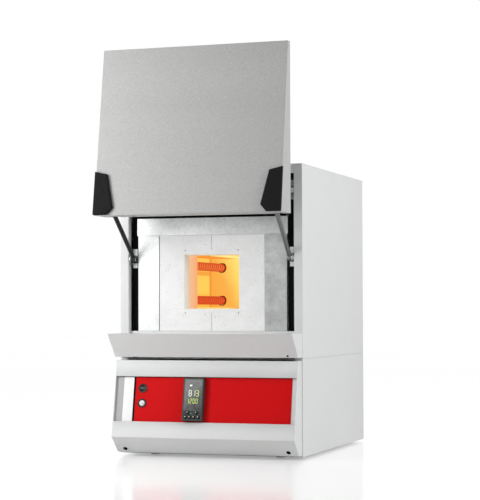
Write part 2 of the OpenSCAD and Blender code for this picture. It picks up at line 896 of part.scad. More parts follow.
barrel_d = 16;
barrel_wall = 1.2;
barrel_depth = 24;
bezel_proud = 2.2;
bezel_bore_d = barrel_d - 2 * barrel_wall;

// The round controls' bezels: a rim on the panel and a barrel through it, closed at the back
module round_bezels() {
    rim = bezel_proud;
    bore = bezel_bore_d / 2;
    color("black") on_slope() for (z = [rocker_rise, button_rise])
        translate([round_x, panel_face, z]) rotate([-90, 0, 0]) rotate_extrude() polygon([
            [bore, -rim], [round_d / 2 - 1, -rim], [round_d / 2, -rim + 1], [round_d / 2, 0],
            [barrel_d / 2, 0], [barrel_d / 2, barrel_depth], [0, barrel_depth],
            [0, barrel_depth - 2], [bore, barrel_depth - 2]
        ]);
}

rocker_d = bezel_bore_d - 1.6;
rocker_drum_r = bezel_bore_d / 2 - 0.4;
rocker_pivot_depth = 1;
rocker_tilt = 7;

// A round rocker on a cross pin in its barrel, tilted to off; its face has a hollow for the finger
module rocker() {
    hollow_r = 10.6;
    hollow_depth = 1.8;
    color("black") on_slope() translate([round_x, panel_face + rocker_pivot_depth, rocker_rise])
        rotate([-rocker_tilt, 0, 0]) difference() {
            intersection() {
                bar_y(rocker_d, -rocker_drum_r - over, rocker_drum_r + over);
                bar_x(2 * rocker_drum_r, -barrel_d, barrel_d);
            }
            translate([0, -rocker_drum_r + hollow_depth - hollow_r, 0])
                bar_x(2 * hollow_r, -barrel_d, barrel_d);
        }
}

cap_d = bezel_bore_d - 0.8;

// The push button's cap, with its stem in the barrel
module push_button() {
    stem_d = 6;
    proud = bezel_proud + 0.4;
    color("white") on_slope() translate([round_x, panel_face, button_rise])
        rotate([-90, 0, 0]) rotate_extrude() polygon([
            [0, -proud], [cap_d / 2 - 1, -proud], [cap_d / 2, -proud + 1], [cap_d / 2, 8],
            [stem_d / 2, 8], [stem_d / 2, barrel_depth - 2 - button_travel - clear],
            [0, barrel_depth - 2 - button_travel - clear]
        ]);
}

// Four rubber feet with a slight taper, pushed into the tray
module feet() {
    color("black") for (x = [-1, 1], y = [front_y + foot_setback, rear_y - foot_setback])
        translate([x * (half_case - foot_inset), y, 0]) rotate_extrude() polygon([
            [0, 0], [foot_d / 2 - 1.5, 0], [foot_d / 2, foot_height], [0, foot_height]
        ]);
}

// The power controller: a finned heat sink with its switching block on top
module power_controller() {
    tray_top = foot_height + sheet;
    fin_pitch = 9;
    fin_t = 3;
    fin_height = 34;
    plate_height = 6;
    switch_width = 58;
    switch_length = 45;
    switch_height = 30;
    color("dimgray") translate([-heat_sink_x, front_y + heat_sink_setback, tray_top]) {
        cube([(fin_count - 1) * fin_pitch + fin_t, heat_sink_length, plate_height]);
        for (i = [0 : fin_count - 1])
            translate([i * fin_pitch, 0, plate_height - 0.1]) cube([fin_t, heat_sink_length, fin_height]);
        translate([fin_pitch * 2, heat_sink_length / 4, plate_height + fin_height - 0.2])
            cube([switch_width, switch_length, switch_height]);
    }
}

// A rail with a row of screw terminals
module terminal_block() {
    tray_top = foot_height + sheet;
    rail_depth = 35;
    rail_height = 7.5;
    pitch = 12.5;
    gap = 1;
    height = 32;
    size = [pitch - gap, rail_depth + 8, height];
    screw_in = 9;
    color("darkgray") translate([terminal_x, front_y + terminal_setback, tray_top]) {
        cube([terminal_count * pitch + 10, rail_depth, rail_height]);
        for (i = [0 : terminal_count - 1])
            translate([6 + i * pitch, -4, rail_height - 0.1]) difference() {
                cube(size);
                for (y = [screw_in, size[1] - screw_in])
                    translate([size[0] / 2, y, size[2] - 8]) cylinder(d = 5, h = 8 + over);
            }
    }
}

// The mains inlet gland: a hexagon outside, a thread through the panel and a nut inside
module cable_gland() {
    wire_d = 10;
    color("black") translate([gland_x, rear_y, gland_height]) difference() {
        union() {
            bar_y(gland_d, -12, sheet);
            translate([0, sheet, 0]) rotate([-90, 0, 0]) cylinder(d = 27, h = 6, $fn = 6);
            bar_y(20, sheet + 5.9, sheet + 20);
            translate([0, -6, 0]) rotate([-90, 0, 0]) cylinder(d = 27, h = 6 - 0.02, $fn = 6);
        }
        bar_y(wire_d, -13, sheet + 21);
    }
}

// Two screw-cap fuse holders
module fuse_holders() {
    color("black") for (x = fuse_places) translate([x, rear_y, gland_height]) {
        bar_y(fuse_d, -30, sheet);
        bar_y(fuse_d + 5, sheet, sheet + 9);
    }
}

// The screw in the sill and the screws that hold the rear panels and the terminal cover
module case_screws() {
    shank_d = 4;
    head_d = 7;
    panel_y = rear_y + sheet;
    color("dimgray") {
        for (x = [-1, 1], z = [deck_top + 30, (deck_top + upper_side_top) / 2, upper_side_top - 30,
            foot_height + 20, base_top_height - 20])
            translate([x * (half_case - 9), 0, z]) bar_y(head_d, panel_y, panel_y + 2);
        for (x = [-1, 1], z = [cover_low + 4, cover_high - 4])
            translate([x * (cover_width / 2 - 20), 0, z]) bar_y(shank_d + 2, panel_y + sheet,
                panel_y + sheet + 1.6);
    }
}

// The door's section: a wedge that is deep at its foot and shallow at its head
module door_section(inset) {
    offset(delta = -inset) polygon([
        [door_rear, door_low],
        [door_rear - door_foot, door_low],
        [door_rear - door_head, door_high],
        [door_rear, door_high]
    ]);
}

// The outer shell is folded from one sheet; its back is open inside a narrow lip
module door_shell() {
    lip_rear = door_rear - plate_t;
    notch_depth = 24;
    notch_half = arm_d / 2 + 5;
    color("lightgray") difference() {
        run_x(-half_door, half_door) intersection() {
            door_section(0);
            translate([lip_rear - trim_depth, door_low]) square([trim_depth, door_height]);
        }
        run_x(-half_door + sheet, half_door - sheet) intersection() {
            door_section(sheet);
            translate([lip_rear - sheet - trim_depth, door_low]) square([trim_depth, door_height]);
        }
        block([-half_door + door_lip, lip_rear - 2 * sheet, door_low + door_lip],
            [half_door - door_lip, lip_rear + over, door_high - door_lip]);
        both_sides() block([door_arm_x - notch_half, lip_rear - notch_depth, door_low - over],
            [door_arm_x + notch_half, lip_rear + over, door_low + door_lip + over]);
    }
}

// The steel panel inside the door, with cheeks that keep the filling clear of the arms
module door_inner_panel() {
    cheek_inset = sheet + clear;
    color("silver") {
        block([-half_inner, door_rear - plate_t, door_low + 2], [half_inner, door_rear, door_high - 2]);
        both_sides() run_x(half_inner - plate_t, half_inner) intersection() {
            door_section(cheek_inset);
            translate([door_rear - trim_depth, door_low + door_lip + clear])
                square([trim_depth - plate_t + 0.4, door_height - 2 * (door_lip + clear)]);
        }
    }
}

// Fibre filling between the shell and the inner panel
module door_insulation() {
    side_inset = plate_t + clear;
    color("ivory") run_x(-half_inner + side_inset, half_inner - side_inset) intersection() {
        door_section(sheet + clear);
        translate([door_rear - trim_depth, door_low + door_lip + clear])
            square([trim_depth - plate_t - clear, door_height - 2 * (door_lip + clear)]);
    }
}

// The plug meets the brickwork round the throat when the door is shut; its rim is bevelled
module door_plug() {
    bevel = 6;
    half_plug = plug_width / 2;
    color("whitesmoke") intersection() {
        run_x(-half_plug, half_plug) polygon([
            [door_rear, plug_low],
            [door_rear, plug_low + plug_height],
            [door_rear + plug_t, plug_low + plug_height - bevel],
            [door_rear + plug_t, plug_low + bevel]
        ]);
        translate([0, 0, plug_low - over]) linear_extrude(plug_height + 2 * over) polygon([
            [-half_plug, door_rear],
            [half_plug, door_rear],
            [half_plug - bevel, door_rear + plug_t],
            [-half_plug + bevel, door_rear + plug_t]
        ]);
    }
}

// The right-hand grip's outline on the door's face, across from the middle and up from the foot
module grip_outline() {
    edge = half_door + 1.4;
    polygon([
        [edge, 1],
        [edge, grip_height],
        [edge - grip_top_width, grip_height - 7],
        [edge - grip_foot_width, 16],
        [edge - grip_foot_width + 13, 1]
    ]);
}

// A moulded corner grip with a bevelled rim, over the door's face and round its edge
module grip() {
    rim = 2;
    on_door_face() rotate([90, 0, 0]) hull() {
        linear_extrude(grip_t - rim) grip_outline();
        linear_extrude(grip_t) offset(delta = -rim) grip_outline();
    }
}

module grip_left() {
    color("black") mirror([1, 0, 0]) grip();
}

module grip_right() {
    color("black") grip();
}

// Studs in the door's side walls carry the arms' upper eyes
module door_pins() {
    wall_x = half_door - sheet;
    flange_t = 2;
    boss_d = pin_d + 6;
    stud_clip_x = clip_x + arm_splay;
    color("darkgray") both_sides() for (z = pivot_heights)
        translate([0, door_pivot_y, z + door_pivot_lift]) {
            bar_x(pin_d, stud_clip_x, wall_x);
            bar_x(boss_d, door_arm_x + arm_d / 2 + clear, wall_x);
            bar_x(boss_d + 8, wall_x - flange_t, wall_x);
            bar_x(pin_d + 3, stud_clip_x, stud_clip_x + clip_t);
        }
}

// A round arm with a flat eye at each end, from a pivot on the case to its pivot on the door
module arm(door_bore) {
    difference() {
        union() {
            rotate([90 - arm_open_angle, 0, 0]) rotate([0, splay_angle, 0])
                translate([0, 0, eye_d / 2 - 1.5]) cylinder(d = arm_d, h = arm_length - eye_d + 3);
            bar_x(eye_d, -eye_t / 2, eye_t / 2);
            arm_end() bar_x(eye_d, -eye_t / 2, eye_t / 2);
        }
        bar_x(bore_d, -arm_d, arm_d);
        arm_end() bar_x(door_bore, -arm_d, arm_d);
    }
}

// Moves the child from an arm's pivot on the case to its pivot on the door
module arm_end() {
    translate([arm_splay, door_pivot_y - pivot_y, door_pivot_lift]) children();
}

module lower_arms() {
    color("dimgray") both_sides() translate([arm_x, pivot_y, pivot_heights[0]]) arm(bore_d);
}

// The linkage is opened at these arms' eyes on the door, which have more room round the pin
module upper_arms() {
    color("dimgray") both_sides() translate([arm_x, pivot_y, pivot_heights[1]]) arm(open_bore_d);
}

case_left_side();
case_right_side();
case_top();
case_rear();
sill();
hot_box_ledge();
hot_box_casing();
front_plates();
front_bricks();
throat_slabs();
throat_bricks();
chamber_walls();
chamber_roof();
chamber_floor();
chamber_back();
hearth_tile();
backup_insulation();
heating_rods();
rod_straps();
thermocouple();
slot_uprights();
arm_brackets();
arm_pins();
terminal_cover();
base_deck();
base_tray();
base_left_side();
base_right_side();
base_rear();
base_front();
fascia_plate();
left_end_strip();
blank_plate();
red_panel();
controller_case();
controller_window();
round_bezels();
feet();
power_controller();
terminal_block();
cable_gland();
fuse_holders();
case_screws();
door_shell();
door_inner_panel();
door_plug();
door_insulation();
grip_left();
grip_right();
door_pins();
lower_arms();
upper_arms();
rocker();
push_button();
key_page();
key_scroll();
key_up();
key_down();
key_run();
key_hold();
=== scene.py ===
import json
import math

import bmesh
import bpy
from mathutils import Matrix, Vector


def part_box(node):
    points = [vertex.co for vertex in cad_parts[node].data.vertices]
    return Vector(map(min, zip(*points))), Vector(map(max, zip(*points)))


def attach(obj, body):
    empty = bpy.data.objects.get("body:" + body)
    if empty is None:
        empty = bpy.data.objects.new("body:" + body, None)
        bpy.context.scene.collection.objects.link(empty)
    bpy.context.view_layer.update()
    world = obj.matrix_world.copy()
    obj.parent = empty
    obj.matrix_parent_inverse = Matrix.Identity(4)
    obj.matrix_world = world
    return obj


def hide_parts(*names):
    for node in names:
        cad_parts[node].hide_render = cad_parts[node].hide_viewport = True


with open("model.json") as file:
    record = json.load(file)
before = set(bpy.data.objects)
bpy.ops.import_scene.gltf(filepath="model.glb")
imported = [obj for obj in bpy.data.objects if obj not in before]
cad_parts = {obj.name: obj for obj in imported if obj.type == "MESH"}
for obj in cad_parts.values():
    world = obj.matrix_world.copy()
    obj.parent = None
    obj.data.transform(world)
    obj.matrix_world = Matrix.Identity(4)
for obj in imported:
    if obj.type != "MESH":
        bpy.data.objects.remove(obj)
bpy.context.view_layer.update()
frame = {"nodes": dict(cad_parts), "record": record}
print("frame loaded")

mm = 0.001
nodes = frame["nodes"]
bodies = frame["record"]["behaviour"]["bodies"]
bodyOf = {node: body for body, members in bodies.items() for node in members}

# the camera stands where the photograph was taken
camera = {
    "place": (1.23706, -3.67054, 0.33258),
    "yaw": 0.324,  # turned to the left of straight ahead
    "pitch": 0.036,
    "roll": -0.003,
    "focalPixels": 1633.08,
    "pictureHeight": 500,
    "sensor": 36.0,
    "clip": (0.1, 60),
}


def placeCamera():
    data = bpy.data.cameras.new("photographCamera")
    data.sensor_width = camera["sensor"]
    data.lens = camera["focalPixels"] * camera["sensor"] / camera["pictureHeight"]
    data.clip_start, data.clip_end = camera["clip"]
    yaw, pitch, roll = camera["yaw"], camera["pitch"], camera["roll"]
    forward = Vector((-math.sin(yaw) * math.cos(pitch), math.cos(yaw) * math.cos(pitch), math.sin(pitch)))
    right = Vector((math.cos(yaw), math.sin(yaw), 0))
    up = right.cross(forward)
    leanedRight = right * math.cos(roll) + up * math.sin(roll)
    leanedUp = up * math.cos(roll) - right * math.sin(roll)
    seat = Matrix((leanedRight, leanedUp, -forward)).transposed().to_4x4()
    seat.translation = Vector(camera["place"])
    eye = bpy.data.objects.new("photographCamera", data)
    eye.matrix_world = seat
    bpy.context.scene.collection.objects.link(eye)
    bpy.context.scene.camera = eye


placeCamera()


# small helpers for node materials
def startMaterial(name):
    material = bpy.data.materials.new(name)
    material.use_nodes = True
    tree = material.node_tree
    shader = tree.nodes["Principled BSDF"]
    where = tree.nodes.new("ShaderNodeTexCoord")
    return material, tree, shader, where.outputs["Object"]


def setSockets(shader, **values):
    for key, value in values.items():
        shader.inputs[key.replace("_", " ")].default_value = value


def noiseNode(tree, place, scale, detail=2.0, roughness=0.5):
    node = tree.nodes.new("ShaderNodeTexNoise")
    node.inputs["Scale"].default_value = scale
    node.inputs["Detail"].default_value = detail
    node.inputs["Roughness"].default_value = roughness
    tree.links.new(place, node.inputs["Vector"])
    return node.outputs["Fac"]


def rampNode(tree, factor, stops):
    node = tree.nodes.new("ShaderNodeValToRGB")
    ramp = node.color_ramp
    ramp.elements[0].position, ramp.elements[0].color = stops[0][0], (*stops[0][1], 1)
    ramp.elements[1].position, ramp.elements[1].color = stops[-1][0], (*stops[-1][1], 1)
    for position, colour in stops[1:-1]:
        ramp.elements.new(position).color = (*colour, 1)
    tree.links.new(factor, node.inputs["Fac"])
    return node.outputs["Color"]


def rangeNode(tree, value, low, high, newLow, newHigh, smooth=False):
    node = tree.nodes.new("ShaderNodeMapRange")
    node.interpolation_type = "SMOOTHSTEP" if smooth else "LINEAR"
    limits = {"From Min": low, "From Max": high, "To Min": newLow, "To Max": newHigh}
    for key, number in limits.items():
        node.inputs[key].default_value = number
    tree.links.new(value, node.inputs["Value"])
    return node.outputs["Result"]


def mathNode(tree, operation, first, second):
    node = tree.nodes.new("ShaderNodeMath")
    node.operation = operation
    for socket, value in zip(node.inputs, (first, second)):
        if isinstance(value, (int, float)):
            socket.default_value = value
        else:
            tree.links.new(value, socket)
    return node.outputs["Value"]


def centred(tree, noise, amount):
    # noise from 0 to 1, brought round zero
    return mathNode(tree, "MULTIPLY", mathNode(tree, "SUBTRACT", noise, 0.5), amount)


def mixColours(tree, factor, first, second):
    node = tree.nodes.new("ShaderNodeMix")
    node.data_type = "RGBA"
    colourSockets = [socket for socket in node.inputs if socket.type == "RGBA"]
    wanted = zip((node.inputs["Factor"], *colourSockets), (factor, first, second))
    for socket, value in wanted:
        if isinstance(value, (int, float)):
            socket.default_value = value
        elif isinstance(value, tuple):
            socket.default_value = (*value, 1)
        else:
            tree.links.new(value, socket)
    return [socket for socket in node.outputs if socket.type == "RGBA"][0]


def bumpNode(tree, shader, height, strength, distance):
    node = tree.nodes.new("ShaderNodeBump")
    node.inputs["Strength"].default_value = strength
    node.inputs["Distance"].default_value = distance
    tree.links.new(height, node.inputs["Height"])
    tree.links.new(node.outputs["Normal"], shader.inputs["Normal"])


def stretched(tree, place, scale):
    node = tree.nodes.new("ShaderNodeMapping")
    node.inputs["Scale"].default_value = scale
    tree.links.new(place, node.inputs["Vector"])
    return node.outputs["Vector"]


def axesNode(tree, place):
    node = tree.nodes.new("ShaderNodeSeparateXYZ")
    tree.links.new(place, node.inputs["Vector"])
    return node.outputs


def shade(colour, factor):
    return tuple(min(1.0, c * factor) for c in colour)


def seen(red, green, blue):
    # a colour as a screen shows it, from 0 to 255, made linear
    parts = [value / 255 for value in (red, green, blue)]
    return tuple(p / 12.92 if p <= 0.04045 else ((p + 0.055) / 1.055) ** 2.4 for p in parts)


def powderCoat(name, colour, speckle=0.05, roughness=0.42, grain=900, gloss=0.35, paintedShadeBands=0.0):
    # paint with a fine speckle and, where given, wide level stripes a little darker: painted shade standing
    # in for reflections across a face
    material, tree, shader, place = startMaterial(name)
    setSockets(shader, Specular_IOR_Level=gloss)
    fine = noiseNode(tree, place, grain, 3)
    tone = rampNode(tree, fine, [(0.3, shade(colour, 1 - speckle)), (0.7, shade(colour, 1 + speckle))])
    wide = noiseNode(tree, stretched(tree, place, (0.6, 0.6, 9)), 1.6, 3)
    # painted shade in wide level stripes
    cast = rangeNode(tree, wide, 0.35, 0.65, paintedShadeBands, 0.0)
    tone = mixColours(tree, cast, tone, shade(colour, 0.8))
    tree.links.new(tone, shader.inputs["Base Color"])
    dull = rangeNode(tree, noiseNode(tree, place, 14, 3), 0.3, 0.7, roughness - 0.04, roughness + 0.05)
    tree.links.new(dull, shader.inputs["Roughness"])
    bumpNode(tree, shader, noiseNode(tree, place, grain * 0.7, 2), 0.25, 0.00012)
    return material


def galvanisedSheet(name, colour, spread=0.12, roughness=0.38, metallic=0.75, paintedShadeRight=0.0):
    # zinc with its crystals, and cloudy patches
    material, tree, shader, place = startMaterial(name)
    spangle = tree.nodes.new("ShaderNodeTexVoronoi")
    spangle.inputs["Scale"].default_value = 190
    warp = mathNode(tree, "MULTIPLY", noiseNode(tree, place, 60, 3), 0.012)
    shifted = tree.nodes.new("ShaderNodeVectorMath")
    shifted.operation = "ADD"
    tree.links.new(place, shifted.inputs[0])
    tree.links.new(warp, shifted.inputs[1])
    tree.links.new(shifted.outputs["Vector"], spangle.inputs["Vector"])
    cell = tree.nodes.new("ShaderNodeSeparateColor")
    tree.links.new(spangle.outputs["Color"], cell.inputs["Color"])
    cloud = noiseNode(tree, place, 22, 5, 0.6)
    flecks = mathNode(tree, "MULTIPLY", cell.outputs["Red"], 0.3)
    both = mathNode(tree, "ADD", flecks, mathNode(tree, "MULTIPLY", cloud, 0.7))
    darker, lighter = shade(colour, 1 - spread), shade(colour, 1 + spread)
    tone = rampNode(tree, both, [(0.25, darker), (0.5, colour), (0.75, lighter)])
    if paintedShadeRight:
        # painted shade: the sheet is darker towards the right, in clouds, standing in for light that falls
        # off across the plates
        along = axesNode(tree, place)
        across = rangeNode(tree, along["X"], -0.03, 0.14, 0, paintedShadeRight)
        # the top plate gets less of this painted shade
        above = rangeNode(tree, along["Z"], 0.498, 0.502, 1.15, 0.5)  # the top plate is less dull
        across = mathNode(tree, "MULTIPLY", across, above)
        patches = rangeNode(tree, noiseNode(tree, place, 35, 4, 0.6), 0.35, 0.65, 0.6, 1.0)
        tone = mixColours(tree, mathNode(tree, "MULTIPLY", across, patches), tone, shade(colour, 0.3))
    tree.links.new(tone, shader.inputs["Base Color"])
    setSockets(shader, Metallic=metallic)
    dull = rangeNode(tree, both, 0.2, 0.8, roughness + 0.08, roughness - 0.08)
    tree.links.new(dull, shader.inputs["Roughness"])
    bumpNode(tree, shader, cell.outputs["Green"], 0.08, 0.0001)
    return material


def fireBrick(name, colour, pit=(0.42, 0.40, 0.38), glowOffsetTint=(0.88, 0.96, 1.0)):
    # pale brick with pores, and a cooler tone on what lies behind its front face: painted light, a bluish
    # tint that offsets the orange glow falling there
    material, tree, shader, place = startMaterial(name)
    pores = tree.nodes.new("ShaderNodeTexVoronoi")
    pores.inputs["Scale"].default_value = 210
    pores.inputs["Randomness"].default_value = 1
    tree.links.new(place, pores.inputs["Vector"])
    reach = rangeNode(tree, noiseNode(tree, place, 55, 2), 0.4, 0.75, 0.04, 0.22)
    inPore = mathNode(tree, "LESS_THAN", pores.outputs["Distance"], reach)
    cloud = noiseNode(tree, place, 40, 5, 0.65)
    tone = rampNode(tree, cloud, [(0.3, shade(colour, 0.96)), (0.5, colour), (0.7, shade(colour, 1.04))])
    tone = mixColours(tree, mathNode(tree, "MULTIPLY", inPore, 0.75), tone, pit)
    # painted light: a cool tint behind the face, against the glow's orange light
    inside = rangeNode(tree, axesNode(tree, place)["Y"], -0.1894, -0.187, 0, 1)
    tone = mixColours(tree, inside, tone, glowOffsetTint)
    tree.links.new(tone, shader.inputs["Base Color"])
    setSockets(shader, Roughness=0.92, Specular_IOR_Level=0.2)
    fine = noiseNode(tree, place, 420, 4, 0.7)
    height = mathNode(tree, "SUBTRACT", fine, mathNode(tree, "MULTIPLY", inPore, 1.5))
    bumpNode(tree, shader, height, 0.7, 0.0007)
    return material


def glowing(name, stops, axis, start, mottle=0.1, strips=()):
    # hot brick: a gradient along a slanted axis, crossed by strips of painted shade, an element's shadow and
    # darker corners
    material, tree, shader, place = startMaterial(name)
    along = axesNode(tree, place)
    total = start
    for key, weight in axis.items():
        total = mathNode(tree, "ADD", total, mathNode(tree, "MULTIPLY", along[key], weight))
    cloud = noiseNode(tree, place, 45, 4, 0.6)
    rise = mathNode(tree, "ADD", total, centred(tree, cloud, mottle))
    tone = rampNode(tree, rise, stops)
    for key, middle, half, soft, colour, amount in strips:
        off = mathNode(tree, "ABSOLUTE", mathNode(tree, "SUBTRACT", along[key], middle), 0)
        inside = rangeNode(tree, off, half, half + soft, amount, 0, smooth=True)
        tone = mixColours(tree, inside, tone, colour)
    tree.links.new(tone, shader.inputs["Emission Color"])
    setSockets(shader, Base_Color=(0.05, 0.022, 0.008, 1), Emission_Strength=1.0)
    setSockets(shader, Roughness=0.9, Specular_IOR_Level=0.1)
    bumpNode(tree, shader, noiseNode(tree, place, 300, 4), 0.3, 0.0004)
    return material


def glowingRod(name, ridge, groove, edge):
    # a hot heating element, brighter in its slots, which a vertex attribute marks, and a darker red towards
    # its outline, which is painted shade
    material, tree, shader, place = startMaterial(name)
    mark = tree.nodes.new("ShaderNodeAttribute")
    mark.attribute_name = "slotDepth"
    rough = noiseNode(tree, place, 260, 3)
    depth = mathNode(tree, "ADD", mark.outputs["Fac"], centred(tree, rough, 0.5))
    tone = rampNode(tree, depth, [(0.05, ridge), (0.85, groove)])
    along = axesNode(tree, place)
    lower = rangeNode(tree, along["Z"], 0.37, 0.41, 0.6, 0)  # the lower elements are redder
    tone = mixColours(tree, lower, tone, ridge)
    # painted shade: the element turns a darker red where its surface turns away from view
    facing = tree.nodes.new("ShaderNodeLayerWeight")
    facing.inputs["Blend"].default_value = 0.35
    rim = rangeNode(tree, facing.outputs["Facing"], 0.25, 0.8, 0, 0.85)
    tone = mixColours(tree, rim, tone, edge)
    tree.links.new(tone, shader.inputs["Emission Color"])
    # behind the chamber's back the element is cold and grey
    cold = rangeNode(tree, along["Y"], 0.106, 0.114, 0, 1)
    tree.links.new(mathNode(tree, "SUBTRACT", 1.0, cold), shader.inputs["Emission Strength"])
    base = mixColours(tree, cold, (0.04, 0.008, 0.004), (0.20, 0.20, 0.20))
    tree.links.new(base, shader.inputs["Base Color"])
    setSockets(shader, Roughness=0.8, Specular_IOR_Level=0.1)
    bumpNode(tree, shader, rough, 0.3, 0.0003)
    return material


def moulded(name, colour, roughness=0.5, grain=700, bump=0.25, variation=0.12, gloss=0.5):
    # plastic, rubber, film and fibre: one colour with a fine grain
    material, tree, shader, place = startMaterial(name)
    setSockets(shader, Specular_IOR_Level=gloss)
    fine = noiseNode(tree, place, grain, 2)
    darker, lighter = shade(colour, 1 - variation), shade(colour, 1 + variation)
    tone = rampNode(tree, fine, [(0.35, darker), (0.65, lighter)])
    tree.links.new(tone, shader.inputs["Base Color"])
    dull = rangeNode(tree, noiseNode(tree, place, 90, 2), 0.3, 0.7, roughness - 0.05, roughness + 0.05)
    tree.links.new(dull, shader.inputs["Roughness"])
    bumpNode(tree, shader, fine, bump, 0.00015)
    return material


def turnedSteel(name, colour, roughness=0.25, metallic=1.0, gloss=0.5):
    # bare metal with the fine lines of its making
    material, tree, shader, place = startMaterial(name)
    rings = noiseNode(tree, stretched(tree, place, (60, 900, 900)), 1, 3)
    tone = rampNode(tree, rings, [(0.35, shade(colour, 0.88)), (0.65, shade(colour, 1.08))])
    tree.links.new(tone, shader.inputs["Base Color"])
    setSockets(shader, Metallic=metallic, Specular_IOR_Level=gloss)
    dull = rangeNode(tree, rings, 0.3, 0.7, roughness - 0.05, roughness + 0.07)
    tree.links.new(dull, shader.inputs["Roughness"])
    bumpNode(tree, shader, rings, 0.05, 0.00005)
    return material


def lit(name, colour):
    # a digit or sign that shines by itself
    material, tree, shader, place = startMaterial(name)
    glowTone = rampNode(tree, noiseNode(tree, place, 600, 1), [(0.3, shade(colour, 0.92)), (0.7, colour)])
    tree.links.new(glowTone, shader.inputs["Emission Color"])
    setSockets(shader, Base_Color=(*shade(colour, 0.3), 1), Roughness=0.4, Emission_Strength=1.0)
    return material


hot = {
    "yellow": seen(252, 206, 92),
    "paleYellow": seen(253, 218, 108),
    "orange": seen(246, 166, 66),
    "deepOrange": seen(238, 140, 50),
    "white": seen(255, 240, 150),
}
# strips of painted shade across the hot walls, under the elements and in the corners: axis, middle, half
# width, soft edge, colour and strength
rodShadow = ("Z", 0.4185, 0.0035, 0.003, seen(240, 152, 58), 0.8)
lowerRodShade = ("Z", 0.353, 0.012, 0.006, seen(247, 172, 66), 0.5)
rearCornerShade = ("Y", 0.108, 0.003, 0.003, hot["deepOrange"], 0.85)
sideCornerShade = ("X", -0.110, 0.002, 0.004, hot["deepOrange"], 0.7)

hotStrips = {"wall": (rodShadow, lowerRodShade, rearCornerShade), "back": (sideCornerShade,)}

# where each colour of a hot surface's gradient stands
hotStops = {
    "throat": [(0.0, seen(242, 190, 150)), (0.5, seen(243, 180, 133)), (1.0, seen(240, 172, 120))],
    "wall": [(0.0, seen(248, 190, 78)), (0.4, hot["yellow"]), (1.0, seen(250, 200, 88))],
    "back": [
        (0.0, hot["orange"]),
        (0.45, seen(247, 176, 76)),
        (0.8, hot["paleYellow"]),
        (1.0, seen(254, 228, 125)),
    ],
    "roof": [
        (0.0, seen(244, 150, 58)),
        (0.55, seen(240, 140, 50)),
        (0.62, hot["white"]),
        (0.85, hot["white"]),
        (1.0, hot["paleYellow"]),
    ],
    "floor": [
        (0.0, seen(254, 214, 112)),
        (0.55, seen(252, 205, 100)),
        (0.75, hot["orange"]),
        (1.0, hot["orange"]),
    ],
}

